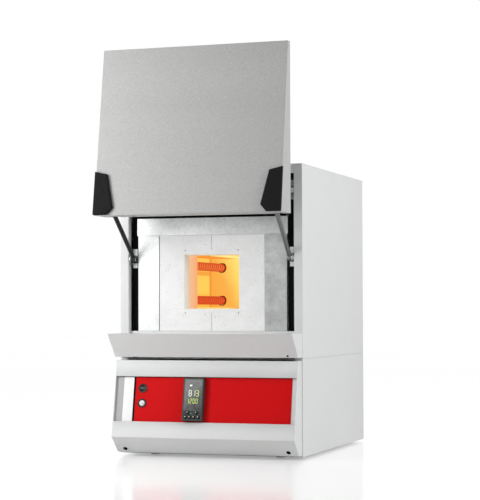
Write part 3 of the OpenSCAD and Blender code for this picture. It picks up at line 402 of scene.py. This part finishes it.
finishes = {
    "case": powderCoat("casePaint", (0.74, 0.75, 0.745)),
    # painted shade: the door has the case's paint, written darker to stand in for the lesser light on its
    # front
    "door": powderCoat("doorPaintShaded", (0.475, 0.48, 0.472), speckle=0.17, grain=520, paintedShadeBands=0.2),
    "galvanised": galvanisedSheet("galvanisedSheet", (0.70, 0.71, 0.71)),
    # painted shade darkens the front plates towards the right
    "frontPlate": galvanisedSheet("frontPlateSheet", (0.60, 0.61, 0.61), paintedShadeRight=0.6),
    "brick": fireBrick("whiteFireBrick", (0.92, 0.925, 0.92)),
    # painted light: the throat's pink is emission standing in for the chamber's glow falling on its bricks
    "throatBrick": glowing(
        "throatGlowLight", hotStops["throat"],
        axis={"Y": 18.5}, start=2.9, mottle=0.5,
    ),
    "hotWall": glowing(
        "hotWall", hotStops["wall"],
        axis={"Z": 8.0}, start=-2.66, mottle=0.3, strips=hotStrips["wall"],
    ),
    "hotBack": glowing(
        "hotBack", hotStops["back"],
        axis={"X": 8.33, "Z": 3.28}, start=-0.24, mottle=0.18, strips=hotStrips["back"],
    ),
    "hotRoof": glowing("hotRoof", hotStops["roof"], axis={"X": 8.0}, start=0.86, mottle=0.08),
    "hotFloor": glowing("hotFloor", hotStops["floor"], axis={"X": 7.0}, start=0.5, mottle=0.1),
    "hotRod": glowingRod("hotRod", seen(222, 62, 32), seen(248, 150, 74), seen(176, 28, 18)),
    # near-black for the painted shade in the elements' holes
    "rodHoleShade": moulded(
        "rodHoleShadeBlack", (0.010, 0.004, 0.003),
        roughness=0.9, grain=300, bump=0.5, variation=0.2, gloss=0.05,
    ),
    "fibre": moulded(
        "ceramicFibre", (0.80, 0.79, 0.76),
        roughness=0.95, grain=300, bump=0.6, variation=0.05, gloss=0.1,
    ),
    # black paint for the slot's uprights; its near-black also stands in for the shade inside the slot
    "blackSteelAndSlotShade": powderCoat(
        "blackSteelAndSlotShade", (0.004, 0.004, 0.004),
        speckle=0.2, roughness=0.7, gloss=0.08,
    ),
    # dark felt for the hole sleeves, also used as painted shade in gaps and holes
    "darkFeltAndShade": moulded(
        "darkSleeveAndShade", (0.003, 0.003, 0.003),
        roughness=0.95, grain=400, bump=0.6, variation=0.2, gloss=0.03,
    ),
    # painted shade: one steel for both arms, written dark for the left arm in shade and lighter for the right
    # arm in light
    "armSteelInShade": turnedSteel(
        "armSteelInShade", (0.007, 0.009, 0.008),
        roughness=0.3, metallic=0.2, gloss=0.35,
    ),
    "armSteelInLight": turnedSteel("armSteelInLight", (0.17, 0.18, 0.175), roughness=0.3, metallic=0.85),
    "pinSteel": turnedSteel("pinSteel", (0.75, 0.76, 0.76), roughness=0.2),
    "bracket": galvanisedSheet(
        "bracketSteel", (0.42, 0.45, 0.44),
        spread=0.2, roughness=0.3, metallic=0.85,
    ),
    "grip": moulded(
        "gripPlastic", (0.010, 0.010, 0.011),
        roughness=0.6, grain=500, bump=0.6, variation=0.3, gloss=0.07,
    ),
    "redPanel": moulded(
        "redPanelFilm", (0.66, 0.0055, 0.0075),
        roughness=0.45, grain=900, bump=0.05, variation=0.03, gloss=0.05,
    ),
    "barePlate": moulded(
        "barePlateWhite", (0.93, 0.93, 0.93),
        roughness=0.4, grain=900, bump=0.05, variation=0.02, gloss=0.4,
    ),
    "endStrip": powderCoat("endStripGrey", (0.46, 0.47, 0.465), speckle=0.05, roughness=0.5),
    "controller": moulded(
        "controllerPlastic", (0.030, 0.037, 0.035),
        roughness=0.4, grain=800, bump=0.15, variation=0.1, gloss=0.25,
    ),
    "controllerEdge": moulded(
        "controllerEdge", (0.12, 0.13, 0.125),
        roughness=0.35, grain=800, bump=0.1, variation=0.08, gloss=0.4,
    ),
    "bareStrip": moulded(
        "bareStrip", (0.20, 0.21, 0.20),
        roughness=0.4, grain=900, bump=0.1, variation=0.15, gloss=0.4,
    ),
    "window": moulded(
        "displayWindow", (0.006, 0.009, 0.008),
        roughness=0.08, grain=800, bump=0.0, variation=0.03, gloss=0.8,
    ),
    "key": moulded(
        "keyRubber", (0.003, 0.003, 0.003),
        roughness=0.5, grain=800, bump=0.1, variation=0.1, gloss=0.1,
    ),
    # painted highlight: pale dots standing in for glints on the keys
    "keyGlintPainted": moulded(
        "keyGlintPainted", (0.72, 0.64, 0.48),
        roughness=0.5, grain=800, bump=0.1, variation=0.1, gloss=0.3,
    ),
    "bezel": moulded(
        "bezelPlastic", (0.008, 0.010, 0.010),
        roughness=0.25, grain=800, bump=0.05, variation=0.1, gloss=0.4,
    ),
    "cap": moulded(
        "capPlastic", (0.82, 0.83, 0.83),
        roughness=0.25, grain=800, bump=0.03, variation=0.02,
    ),
    "rubber": moulded(
        "footRubber", (0.015, 0.015, 0.015),
        roughness=0.8, grain=500, bump=0.3, variation=0.2, gloss=0.2,
    ),
    "aluminium": turnedSteel("extrudedAluminium", (0.6, 0.61, 0.62), roughness=0.35),
    "terminal": moulded("terminalPlastic", (0.35, 0.35, 0.34), roughness=0.6),
    "gland": moulded("glandPlastic", (0.02, 0.02, 0.02), roughness=0.5),
    "blackLine": moulded(
        "panelEdgeBlack", (0.003, 0.003, 0.003),
        roughness=0.7, grain=700, bump=0.1, variation=0.1, gloss=0.05,
    ),
    "digitWhite": lit("digitWhite", seen(225, 232, 214)),
    "digitGreen": lit("digitGreen", seen(196, 222, 96)),
    "signGreen": lit("signGreen", seen(70, 150, 90)),
}
print("materials made")


# helpers for pieces; blocks, bars and lathed shapes are given in millimetres
def block(bm, low, high):
    corners = bmesh.ops.create_cube(bm, size=1)["verts"]
    bmesh.ops.scale(bm, vec=[h - l for l, h in zip(low, high)], verts=corners)
    bmesh.ops.translate(bm, vec=[(l + h) / 2 for l, h in zip(low, high)], verts=corners)
    return corners


def lathe(bm, outline, sides=40, closed=True):
    # turns an outline of radius and depth about the Y axis
    before = set(bm.verts)
    corners = [bm.verts.new((radius, depth, 0)) for radius, depth in outline]
    followers = corners[1:] + corners[:1] if closed else corners[1:]
    edges = [bm.edges.new(pair) for pair in zip(corners, followers)]
    bmesh.ops.spin(bm, geom=corners + edges, cent=(0, 0, 0), axis=(0, 1, 0), angle=math.tau, steps=sides,
        use_merge=True)
    made = [vert for vert in bm.verts if vert not in before]
    bmesh.ops.remove_doubles(bm, verts=made, dist=1e-4)
    return turnOutwards(bm, before)


def turnOutwards(bm, before):
    # the faces of what was added since before get outward normals
    made = [vert for vert in bm.verts if vert not in before]
    faces = [face for face in bm.faces if face.verts[0] not in before]
    bmesh.ops.recalc_face_normals(bm, faces=faces)
    return made


def put(bm, verts, *steps):
    for step in steps:
        bmesh.ops.transform(bm, matrix=step, verts=verts)


def move(x, y, z):
    return Matrix.Translation((x, y, z))


def turn(degrees, axis):
    return Matrix.Rotation(math.radians(degrees), 4, axis)


sharpAngle = 35  # degrees between two faces from which their edge counts as sharp


def finishPiece(name, bm, material, body, replaced=()):
    mesh = bpy.data.meshes.new(name)
    bm.to_mesh(mesh)
    bm.free()
    for face in mesh.polygons:
        face.use_smooth = True
    mesh.set_sharp_from_angle(angle=math.radians(sharpAngle))
    mesh.materials.append(finishes[material])
    piece = bpy.data.objects.new(name, mesh)
    bpy.context.scene.collection.objects.link(piece)
    flatter = piece.modifiers.new("flatFacesStayFlat", "WEIGHTED_NORMAL")
    flatter.keep_sharp = True
    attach(piece, body)
    if replaced:
        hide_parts(*replaced)


def finishSmall(name, bm, material, body, width=0.0, segments=1, replaced=()):
    # a piece drawn in millimetres: its sharp edges are broken and it is brought to metres
    if width:
        bevelSharp(bm, width, segments)
    bmesh.ops.scale(bm, vec=(mm, mm, mm), verts=bm.verts)
    finishPiece(name, bm, material, body, replaced)


def mergedCopy(node):
    # a CAD node's triangles, welded and joined into flat faces
    bm = bmesh.new()
    bm.from_mesh(nodes[node].data)
    for layer in list(bm.loops.layers.uv):
        bm.loops.layers.uv.remove(layer)
    bmesh.ops.remove_doubles(bm, verts=bm.verts, dist=2e-6)
    bmesh.ops.dissolve_limit(bm, angle_limit=math.radians(0.5), verts=bm.verts, edges=bm.edges)
    return bm


def bevelSharp(bm, width, segments=2):
    limit = math.radians(sharpAngle)
    sharp = [edge for edge in bm.edges if len(edge.link_faces) == 2 and edge.calc_face_angle(0) > limit]
    bmesh.ops.bevel(bm, geom=sharp, offset=width, offset_type="OFFSET", segments=segments, profile=0.5,
        affect="EDGES", clamp_overlap=True, material=-1, loop_slide=True)


def softened(node, material, width):
    bm = mergedCopy(node)
    bevelSharp(bm, width * mm)
    finishPiece(node + "_finished", bm, material, bodyOf[node], (node,))


def oneSide(node, side, name, material, width):
    # the solids of a node that lie on one side of the middle
    bm = mergedCopy(node)
    others = [vert for vert in bm.verts if vert.co.x * side < 0]
    bmesh.ops.delete(bm, geom=others, context="VERTS")
    bevelSharp(bm, width * mm)
    finishPiece(name, bm, material, bodyOf[node], (node,))


def dress(node, material):
    mesh = nodes[node].data
    mesh.materials.clear()
    mesh.materials.append(finishes[material])


# folded sheet, brick and moulded parts keep the CAD's shape and get broken edges, of a width in mm
softNodes = {
    "case_left_side": ("case", 0.5), "case_right_side": ("case", 0.5), "case_top": ("case", 0.5),
    "case_rear": ("case", 0.4),
    "sill": ("case", 0.7), "hot_box_ledge": ("case", 0.4), "front_plates": ("frontPlate", 0.25),
    "throat_slabs": ("brick", 0.4), "door_plug": ("brick", 0.8),
    "base_front": ("case", 0.7), "base_left_side": ("case", 0.5), "base_right_side": ("case", 0.5),
    "base_rear": ("case", 0.4),
    "terminal_cover": ("case", 0.5), "door_shell": ("door", 0.7), "door_inner_panel": ("galvanised", 0.4),
    "grip_left": ("grip", 0.8), "grip_right": ("grip", 0.8), "controller_case": ("controller", 0.4),
    "feet": ("rubber", 0.5), "cable_gland": ("gland", 0.4), "fuse_holders": ("gland", 0.6),
    "arm_brackets": ("bracket", 0.4), "arm_pins": ("pinSteel", 0.4), "door_pins": ("pinSteel", 0.4),
}
plainNodes = {
    "hot_box_casing": "galvanised", "throat_bricks": "throatBrick", "chamber_walls": "hotWall",
    "chamber_roof": "hotRoof", "chamber_floor": "hotFloor", "chamber_back": "hotBack",
    "hearth_tile": "hotFloor", "backup_insulation": "fibre",
    "rod_straps": "aluminium", "thermocouple": "throatBrick", "slot_uprights": "blackSteelAndSlotShade",
    "base_deck": "case", "base_tray": "case", "fascia_plate": "case", "left_end_strip": "endStrip",
    "blank_plate": "barePlate", "red_panel": "redPanel", "controller_window": "window",
    "round_bezels": "bezel",
    "power_controller": "aluminium", "terminal_block": "terminal", "case_screws": "pinSteel",
    "door_insulation": "fibre", "rocker": "bezel", "push_button": "cap", "key_page": "key",
    "key_scroll": "key", "key_up": "key", "key_down": "key", "key_run": "key", "key_hold": "key",
}
for node, (material, width) in softNodes.items():
    softened(node, material, width)
for node, material in plainNodes.items():
    dress(node, material)
# the two arms get lit and shaded copies of one steel
armEdge = 0.4
for side, hand, material in ((-1, "Left", "armSteelInShade"), (1, "Right", "armSteelInLight")):
    oneSide("lower_arms", side, "lowerArm" + hand, material, armEdge)
    oneSide("upper_arms", side, "upperArm" + hand, material, armEdge)
print("CAD nodes dressed")


# the brickwork round the throat, with its joints filled
brickwork = {
    "face": -190.0,
    "mortarDepth": 0.22,  # how far the mortar lies behind the bricks' face
    "mortarRear": 33,
    "edge": 0.3,
    # opposite corners of each joint, across and up: two long level ones, four beside the throat's slabs
    "joints": [
        ((-126.0, 465.0), (126.0, 465.6)),
        ((-126.0, 323.4), (126.0, 324.0)),
        ((-65.8, 456.2), (-65.5, 465.0)),
        ((65.5, 456.2), (65.8, 465.0)),
        ((-65.8, 324.0), (-65.5, 332.8)),
        ((65.5, 324.0), (65.8, 332.8)),
    ],
    # the two upright ones above and below the throat look dark
    "openJoints": [((-0.3, 465.7), (0.3, 499.8)), ((-0.3, 283.1), (0.3, 323.3))],
    # across, up and radius: four at the corners of the slabs, the rest strewn
    "pits": [
        (-63.2, 465.3, 1.3), (63.6, 465.3, 1.4), (-63.2, 323.7, 1.2), (64.2, 323.6, 1.3),
        (-15.8, 320.4, 0.9), (-14.7, 478.2, 0.7), (8.6, 313.4, 0.8),
        (97.0, 352.0, 0.6), (-100.0, 432.0, 0.7), (48.0, 488.0, 0.6),
    ],
    "pitSides": 14,
}


def fillJoints(bm, joints):
    front = brickwork["face"] + brickwork["mortarDepth"]
    rear = brickwork["face"] + brickwork["mortarRear"]
    for (left, low), (right, high) in joints:
        block(bm, (left, front, low), (right, rear, high))


def pitOutline(radius):
    return [(0, -0.05), (radius * 0.8, -0.12), (radius, 0.1), (radius * 0.7, 0.5), (0, 0.6)]


def makeBrickwork():
    bm = mergedCopy("front_bricks")
    bevelSharp(bm, brickwork["edge"] * mm)
    bmesh.ops.scale(bm, vec=(1 / mm, 1 / mm, 1 / mm), verts=bm.verts)
    fillJoints(bm, brickwork["joints"])
    finishSmall("brickworkFinished", bm, "brick", "furnace", replaced=("front_bricks",))


def makePits():
    # pits and open joints, both dark
    bm = bmesh.new()
    for x, z, radius in brickwork["pits"]:
        dish = lathe(bm, pitOutline(radius), brickwork["pitSides"], closed=False)
        put(bm, dish, move(x, brickwork["face"], z))
    fillJoints(bm, brickwork["openJoints"])
    finishSmall("brickPits", bm, "bezel", "furnace")


makeBrickwork()
makePits()

# dark blocks of painted shade: along the left plate's edge, and behind the gap between the hot box and the
# header, where the gaps fall into shade
shadeBlocks = {
    "plateEdge": ((-127.1, -190.3, 283.4), (-125.7, -189.7, 499.6)),
    "headerGap": ((-176.0, -188.5, 539.75), (176.0, -187.0, 572.0)),
}
shadeBlockEdge = 0.12
for name, (low, high) in shadeBlocks.items():
    bm = bmesh.new()
    block(bm, low, high)
    finishSmall(name + "Shade", bm, "darkFeltAndShade", "furnace", shadeBlockEdge, 2)

# the chamber's roof lining hangs as low as the throat's lintel
roofLining = {"low": (-109.2, -101.4, 455.0), "high": (109.2, 106.9, 462.4), "edge": 0.8}
bm = bmesh.new()
block(bm, roofLining["low"], roofLining["high"])
finishSmall("roofLining", bm, "hotRoof", "furnace", roofLining["edge"], 2)

# heating elements with the twin spiral slot of their hot zone
rods = {
    "places": [(-80, 353), (-80, 433), (80, 353), (80, 433)],
    "radius": 10.0,
    "tipRadius": 8.0,
    "tip": [(1, 9.4), (2, 10.0)],  # behind the front end, and the radius there
    "front": -97.4,
    "hotEnd": 104.0,  # where the slots stop, just before the chamber's back
    "rear": 287.2,
    "collarAt": (245.6, 253.4),
    "collarRadius": 14.0,
    "lead": 30.0,  # one turn of a slot
    "slotWidth": 0.30,  # as a share of the way round
    "slotDepth": 1.7,
    "slotStart": 5,  # behind the front end
    "slotFade": 6,  # the length over which a slot grows to its depth
    "ringStep": 1.6,
    "sides": 36,
    # a dark ring in each element's hole in the chamber's back, shifted up and across: painted shade of the
    # gap round the element
    "ring": [(10.9, 107.7), (11.5, 107.5), (12.0, 108.4), (12.0, 116), (10.9, 116)],  # radius and depth
    "shadeRingShift": (0.6, -0.5),
}


def clamped(value):
    return min(1.0, max(0.0, value))


def slotShare(angle, depth):
    # 1 in the middle of a slot, 0 on the ridge between two slots
    phase = (2 * (angle / math.tau - depth / rods["lead"])) % 1.0
    off = abs(phase - 0.5) / 0.5
    share = clamped((rods["slotWidth"] * 2 - off) / rods["slotWidth"])
    fadeOut = clamped((rods["hotEnd"] - depth) / rods["slotFade"])
    fadeIn = clamped((depth - rods["front"] - rods["slotStart"]) / rods["slotFade"])
    return share * (fadeOut * fadeIn)


def rodSteps():
    # depth and radius of each ring along an element, from the front to the rear
    radius, wide = rods["radius"], rods["collarRadius"]
    steps = [(rods["front"] + behind, tipRadius) for behind, tipRadius in rods["tip"]]
    depth = steps[-1][0]
    while depth + rods["ringStep"] < rods["hotEnd"]:
        depth += rods["ringStep"]
        steps.append((depth, radius))
    collarLow, collarHigh = rods["collarAt"]
    steps += [(rods["hotEnd"], radius), (collarLow, radius), (collarLow, wide)]
    steps += [(collarHigh, wide), (collarHigh, radius), (rods["rear"], radius)]
    return steps


def shapeRing(ring, depth, radius, mark):
    for vert in ring:
        angle = math.atan2(vert.co.z, vert.co.x)
        share = slotShare(angle, depth) if depth <= rods["hotEnd"] else 0.0
        reach = radius - rods["slotDepth"] * share
        vert.co = Vector((math.cos(angle) * reach, depth, math.sin(angle) * reach))
        vert[mark] = share


def addRod(bm, mark):
    before = set(bm.verts)
    tip = bmesh.ops.create_circle(bm, cap_ends=True, segments=rods["sides"], radius=rods["tipRadius"])
    cap = tip["verts"]
    put(bm, cap, turn(90, "X"), move(0, rods["front"], 0))
    rim = [edge for edge in bm.edges if edge.verts[0] in cap and len(edge.link_faces) == 1]
    for depth, radius in rodSteps():
        grown = bmesh.ops.extrude_edge_only(bm, edges=rim)["geom"]
        rim = [item for item in grown if isinstance(item, bmesh.types.BMEdge)]
        shapeRing([item for item in grown if isinstance(item, bmesh.types.BMVert)], depth, radius, mark)
    bmesh.ops.contextual_create(bm, geom=rim)
    return turnOutwards(bm, before)


def makeRods():
    bm = bmesh.new()
    mark = bm.verts.layers.float.new("slotDepth")
    for x, z in rods["places"]:
        put(bm, addRod(bm, mark), move(x, 0, z))
    finishSmall("heatingElements", bm, "hotRod", "furnace", replaced=("heating_rods",))


# painted shade: near-black rings filling the gaps round the elements in the back wall
def makeRodHoleShades():
    bm = bmesh.new()
    shiftAcross, shiftUp = rods["shadeRingShift"]
    for x, z in rods["places"]:
        shadeRing = lathe(bm, rods["ring"], rods["sides"])
        put(bm, shadeRing, move(x + shiftAcross, 0, z + shiftUp))
    finishSmall("rodHoleShadeRings", bm, "rodHoleShade", "furnace")


makeRods()
makeRodHoleShades()
print("hot box finished")

# the base front's slope: X along the case, Y into it, Z up the slope
slope = {"prow": (0, -260.6, 45.0), "angle": -10.217, "panelFace": 5.2}
onSlope = move(*slope["prow"]) @ turn(slope["angle"], "X")


def slopePiece(name, bm, material, width=0.0, body="furnace"):
    put(bm, bm.verts[:], onSlope)
    finishSmall(name, bm, material, body, width)


# thin dark lines: one between the bare plate and the red panel, and one under the upper band that is painted
# shadow, the shade under the band's edge
panelLines = {
    "joint": ((-170.6, 5.02, 36.3), (-165.9, 6.0, 137.7)),
    "shadowUnderUpperBand": ((-213.0, 4.9, 136.9), (203.3, 5.7, 137.9)),
}
bm = bmesh.new()
for low, high in panelLines.values():
    block(bm, low, high)
slopePiece("panelLines", bm, "blackLine", 0.1)

# the controller's front: a raised edge round its window, a bare strip above, and marks that light up
display = {
    "windowLow": (-44.6, 62.1),
    "windowHigh": (-1.8, 132.4),
    "face": -5.82,  # just in front of the glass
    "digitDepth": 0.05,
    "digitGap": 0.35,  # how much shorter a stroke is than its place
    "pointed": 0.96,  # how much of a stroke's half width its ends are cut away
    "upper": {"digits": "813", "left": -33.7, "low": 93.2, "size": (7.0, 14.6), "pitch": 8.5, "stroke": 1.5},
    "lower": {"digits": "1200", "left": -37.4, "low": 77.2, "size": (4.9, 11.4), "pitch": 7.0, "stroke": 1.1},
    "sign": ((-32.0, 116.2), (-26.4, 119.8)),
    "greenSigns": [(-32.2, 58.8), (-26.2, 55.8)],
    "greenHalf": (1.3, 0.8),
    "trimWidth": 0.9,
    "bareStrip": ((-42.5, 125.8), (-3.9, 129.6)),
}
segmentsOn = {"0": "abcdef", "1": "bc", "2": "abged", "3": "abgcd", "8": "abcdefg"}


def barSegment(bm, middle, length, stroke, upright):
    # one stroke of a digit: a flat bar with pointed ends
    half, reach = stroke / 2, length / 2
    corners = block(bm, (-reach, -display["digitDepth"], -half), (reach, 0, half))
    ends = [edge for edge in bm.edges if edge.verts[0] in corners and isDeep(edge)]
    cut = bmesh.ops.bevel(bm, geom=ends, offset=half * display["pointed"], offset_type="OFFSET", segments=1,
        profile=0.5, affect="EDGES", material=-1)
    pointed = {vert for face in cut["faces"] for vert in face.verts}
    bar = list({other for vert in pointed for face in vert.link_faces for other in face.verts})
    if upright:
        put(bm, bar, turn(90, "Y"))
    put(bm, bar, move(middle[0], display["face"], middle[1]))


def isDeep(edge):
    # whether an edge runs from the front to the rear
    return abs(edge.verts[0].co.y - edge.verts[1].co.y) > 1e-4


def drawDigits(bm, row, chosen):
    # the chosen digits of a row; the letters name the strokes as on any seven-stroke display
    width, height = row["size"]
    stroke = row["stroke"]
    wide, tall = width - stroke, height / 2 - stroke / 2
    for index in chosen:
        left, low = row["left"] + index * row["pitch"], row["low"] + stroke / 2
        middle, near, far = left + width / 2, left + stroke / 2, left + width - stroke / 2
        places = {
            "a": (middle, low + 2 * tall, False),
            "g": (middle, low + tall, False),
            "d": (middle, low, False),
            "f": (near, low + 1.5 * tall, True),
            "b": (far, low + 1.5 * tall, True),
            "e": (near, low + 0.5 * tall, True),
            "c": (far, low + 0.5 * tall, True),
        }
        for segment in segmentsOn[row["digits"][index]]:
            across, up, upright = places[segment]
            length = (tall if upright else wide) - display["digitGap"]
            barSegment(bm, (across, up), length, stroke, upright)


def frontBlock(bm, low, high, proud, deep):
    # a block on the controller's front, between two corners given across and up
    face = display["face"]
    block(bm, (low[0], face - proud, low[1]), (high[0], face + deep, high[1]))


def makeDigits():
    bm = bmesh.new()
    drawDigits(bm, display["upper"], (0, 1))
    frontBlock(bm, *display["sign"], proud=0.05, deep=0)
    slopePiece("displayPaleDigits", bm, "digitWhite")
    bm = bmesh.new()
    drawDigits(bm, display["upper"], (2,))
    drawDigits(bm, display["lower"], (0, 1, 2, 3))
    slopePiece("displayGreenDigits", bm, "digitGreen")
    bm = bmesh.new()
    halfWidth, halfHeight = display["greenHalf"]
    for x, z in display["greenSigns"]:
        frontBlock(bm, (x - halfWidth, z - halfHeight), (x + halfWidth, z + halfHeight), proud=0.04, deep=0.1)
    slopePiece("controllerSigns", bm, "signGreen")


def makeControllerTrim():
    (left, low), (right, high), wide = display["windowLow"], display["windowHigh"], display["trimWidth"]
    bars = [
        ((left, low), (right, low + wide)),
        ((left, high - wide), (right, high)),
        ((left, low + wide), (left + wide, high - wide)),
        ((right - wide, low + wide), (right, high - wide)),
    ]
    bm = bmesh.new()
    for corner, opposite in bars:
        frontBlock(bm, corner, opposite, proud=0.35, deep=0.1)
    slopePiece("windowEdge", bm, "controllerEdge", width=0.12)
    bm = bmesh.new()
    frontBlock(bm, *display["bareStrip"], proud=0.2, deep=0.1)
    slopePiece("bareNameStrip", bm, "bareStrip", width=0.15)


makeDigits()
makeControllerTrim()

# each key carries a small pale dot at its upper left, a painted highlight standing in for a glint
keys = {"radius": 1.3, "offset": (-1.3, 1.2), "face": -6.8, "sides": 14}


def makeKeyGlint(node):
    low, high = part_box(node)
    centre = onSlope.inverted() @ ((Vector(low) + Vector(high)) / 2 / mm)
    radius = keys["radius"]
    outline = [(0, -0.14), (radius * 0.75, -0.12), (radius, 0), (radius * 0.9, 0.3), (0, 0.3)]
    bm = bmesh.new()
    dot = lathe(bm, outline, keys["sides"], closed=False)
    put(bm, dot, move(centre.x + keys["offset"][0], keys["face"], centre.z + keys["offset"][1]))
    slopePiece(node.replace("key_", "glint_"), bm, "keyGlintPainted", body=bodyOf[node])


for node in ("key_page", "key_scroll", "key_up", "key_down", "key_run", "key_hold"):
    makeKeyGlint(node)
print("controller finished")


# the round controls: a raised ring on each bezel, and a small slanted mark on the white cap
roundMarks = {
    "across": -148.3,
    "rockerUp": 111.6,
    "capUp": 78.1,
    "bezelFace": -2.2,
    "capFace": -2.6,
    "ring": [(6.9, -0.05), (7.5, -0.45), (8.6, -0.5), (9.4, 0.1), (9.2, 0.4), (7.0, 0.4)],
    "ringSides": 44,
    "mark": ((-2.3, -0.12, -0.6), (2.3, 0.2, 0.6)),
    "markTurn": 24,
    "markShift": (1.2, -0.6),  # from the cap's middle, across and up
    "markEdge": 0.1,
}


def makeRoundMarks():
    x, panel = roundMarks["across"], slope["panelFace"]
    bm = bmesh.new()
    for up in (roundMarks["rockerUp"], roundMarks["capUp"]):
        ring = lathe(bm, roundMarks["ring"], roundMarks["ringSides"])
        put(bm, ring, move(x, panel + roundMarks["bezelFace"], up))
    slopePiece("bezelRings", bm, "bezel")
    bm = bmesh.new()
    across, up = x + roundMarks["markShift"][0], roundMarks["capUp"] + roundMarks["markShift"][1]
    mark = block(bm, *roundMarks["mark"])
    put(bm, mark, turn(roundMarks["markTurn"], "Y"), move(across, panel + roundMarks["capFace"], up))
    slopePiece("capMark", bm, "bareStrip", roundMarks["markEdge"], body="push_button")


makeRoundMarks()

# plastic sleeves in the two screw access holes of the base front, each with a dark bottom that is painted
# shade inside the hole, and the sill's screw
holes = {
    "places": [(-193.0, -232.0, 17.1), (193.0, -232.0, 17.1)],
    "outward": 45.7,
    "sleeve": [(3.0, -0.5), (3.9, -0.9), (4.9, -0.7), (5.1, 0.05), (4.1, 0.1), (4.1, 3.2), (2.9, 3.2)],
    "shadeBottom": [(0, 2.2), (3.4, 2.2), (3.4, 3.0), (0, 3.0)],
    "sides": 28,
}
bm = bmesh.new()
for place in holes["places"]:
    sleeve = lathe(bm, holes["sleeve"], holes["sides"])
    sleeve += lathe(bm, holes["shadeBottom"], holes["sides"], closed=False)
    put(bm, sleeve, turn(holes["outward"], "X"), move(*place))
finishSmall("holeSleeves", bm, "darkFeltAndShade", "furnace")

sillScrew = {
    "place": (193.6, -238.4, 228.6),
    "outward": 40.4,
    "outline": [(0, -0.9), (1.9, -0.8), (2.7, -0.15), (2.7, 0.05), (1.5, 0.05), (1.5, 1.2), (0, 1.2)],
    "sides": 24,
}
bm = bmesh.new()
screw = lathe(bm, sillScrew["outline"], sillScrew["sides"], closed=False)
put(bm, screw, turn(sillScrew["outward"], "X"), move(*sillScrew["place"]))
finishSmall("sillScrew", bm, "bezel", "furnace")

# a pale floor and surround, brighter to the camera and in reflections than as light on the object
studio = {"floorColour": 0.86, "floorGloss": 0.16, "floorLift": 0.30, "floorSize": 14, "world": 0.15}


def watchedRays(tree):
    # 1 for what the camera sees, directly, reflected or through glass
    rays = tree.nodes.new("ShaderNodeLightPath")
    total = mathNode(tree, "ADD", rays.outputs["Is Camera Ray"], rays.outputs["Is Glossy Ray"])
    total = mathNode(tree, "ADD", total, rays.outputs["Is Transmission Ray"])
    return mathNode(tree, "MINIMUM", total, 1.0)


def buildFloor():
    bm = bmesh.new()
    bmesh.ops.create_grid(bm, x_segments=1, y_segments=1, size=studio["floorSize"])
    mesh = bpy.data.meshes.new("studioFloor")
    bm.to_mesh(mesh)
    bm.free()
    floor = bpy.data.objects.new("studioFloor", mesh)
    bpy.context.scene.collection.objects.link(floor)
    material, tree, shader = startMaterial("studioFloor")[:3]
    setSockets(shader, Base_Color=(studio["floorColour"],) * 3 + (1,), Roughness=studio["floorGloss"])
    shader.inputs["Emission Color"].default_value = (1, 1, 1, 1)
    lift = mathNode(tree, "MULTIPLY", watchedRays(tree), studio["floorLift"])
    tree.links.new(lift, shader.inputs["Emission Strength"])
    floor.data.materials.append(material)


def buildSurround():
    world = bpy.data.worlds.new("studioWorld")
    world.use_nodes = True
    bpy.context.scene.world = world
    tree = world.node_tree
    background = tree.nodes["Background"]
    background.inputs["Color"].default_value = (1, 1, 1, 1)
    strength = rangeNode(tree, watchedRays(tree), 0, 1, studio["world"], 1.0)
    tree.links.new(strength, background.inputs["Strength"])


lamps = {
    "strip": {
        "place": (-0.85, -0.95, 0.80), "aim": (0, -0.3, 0.7), "size": (0.35, 1.1), "power": 10.6, "roll": 0,
    },
    "windowGlare": {
        "place": (-1.447, -2.814, 1.266), "aim": (-0.02, -0.25, 0.12), "size": (1.0, 1.0),
        "power": 9.5, "roll": -38,
    },
    "rightSide": {
        "place": (3.2, -0.6, 1.6), "aim": (0.2, 0, 0.35), "size": (2.0, 1.6), "power": 68, "roll": 0,
    },
}


def addLamp(name, settings):
    data = bpy.data.lights.new(name, "AREA")
    data.shape = "RECTANGLE"
    data.size, data.size_y = settings["size"]
    data.energy = settings["power"]
    lamp = bpy.data.objects.new(name, data)
    look = Vector(settings["aim"]) - Vector(settings["place"])
    facing = look.to_track_quat("-Z", "Y").to_matrix().to_4x4() @ turn(settings["roll"], "Z")
    lamp.matrix_world = move(*settings["place"]) @ facing
    bpy.context.scene.collection.objects.link(lamp)


buildFloor()
buildSurround()
for name, settings in lamps.items():
    addLamp(name, settings)
bpy.context.scene.view_settings.view_transform = "Standard"
print("studio lit")
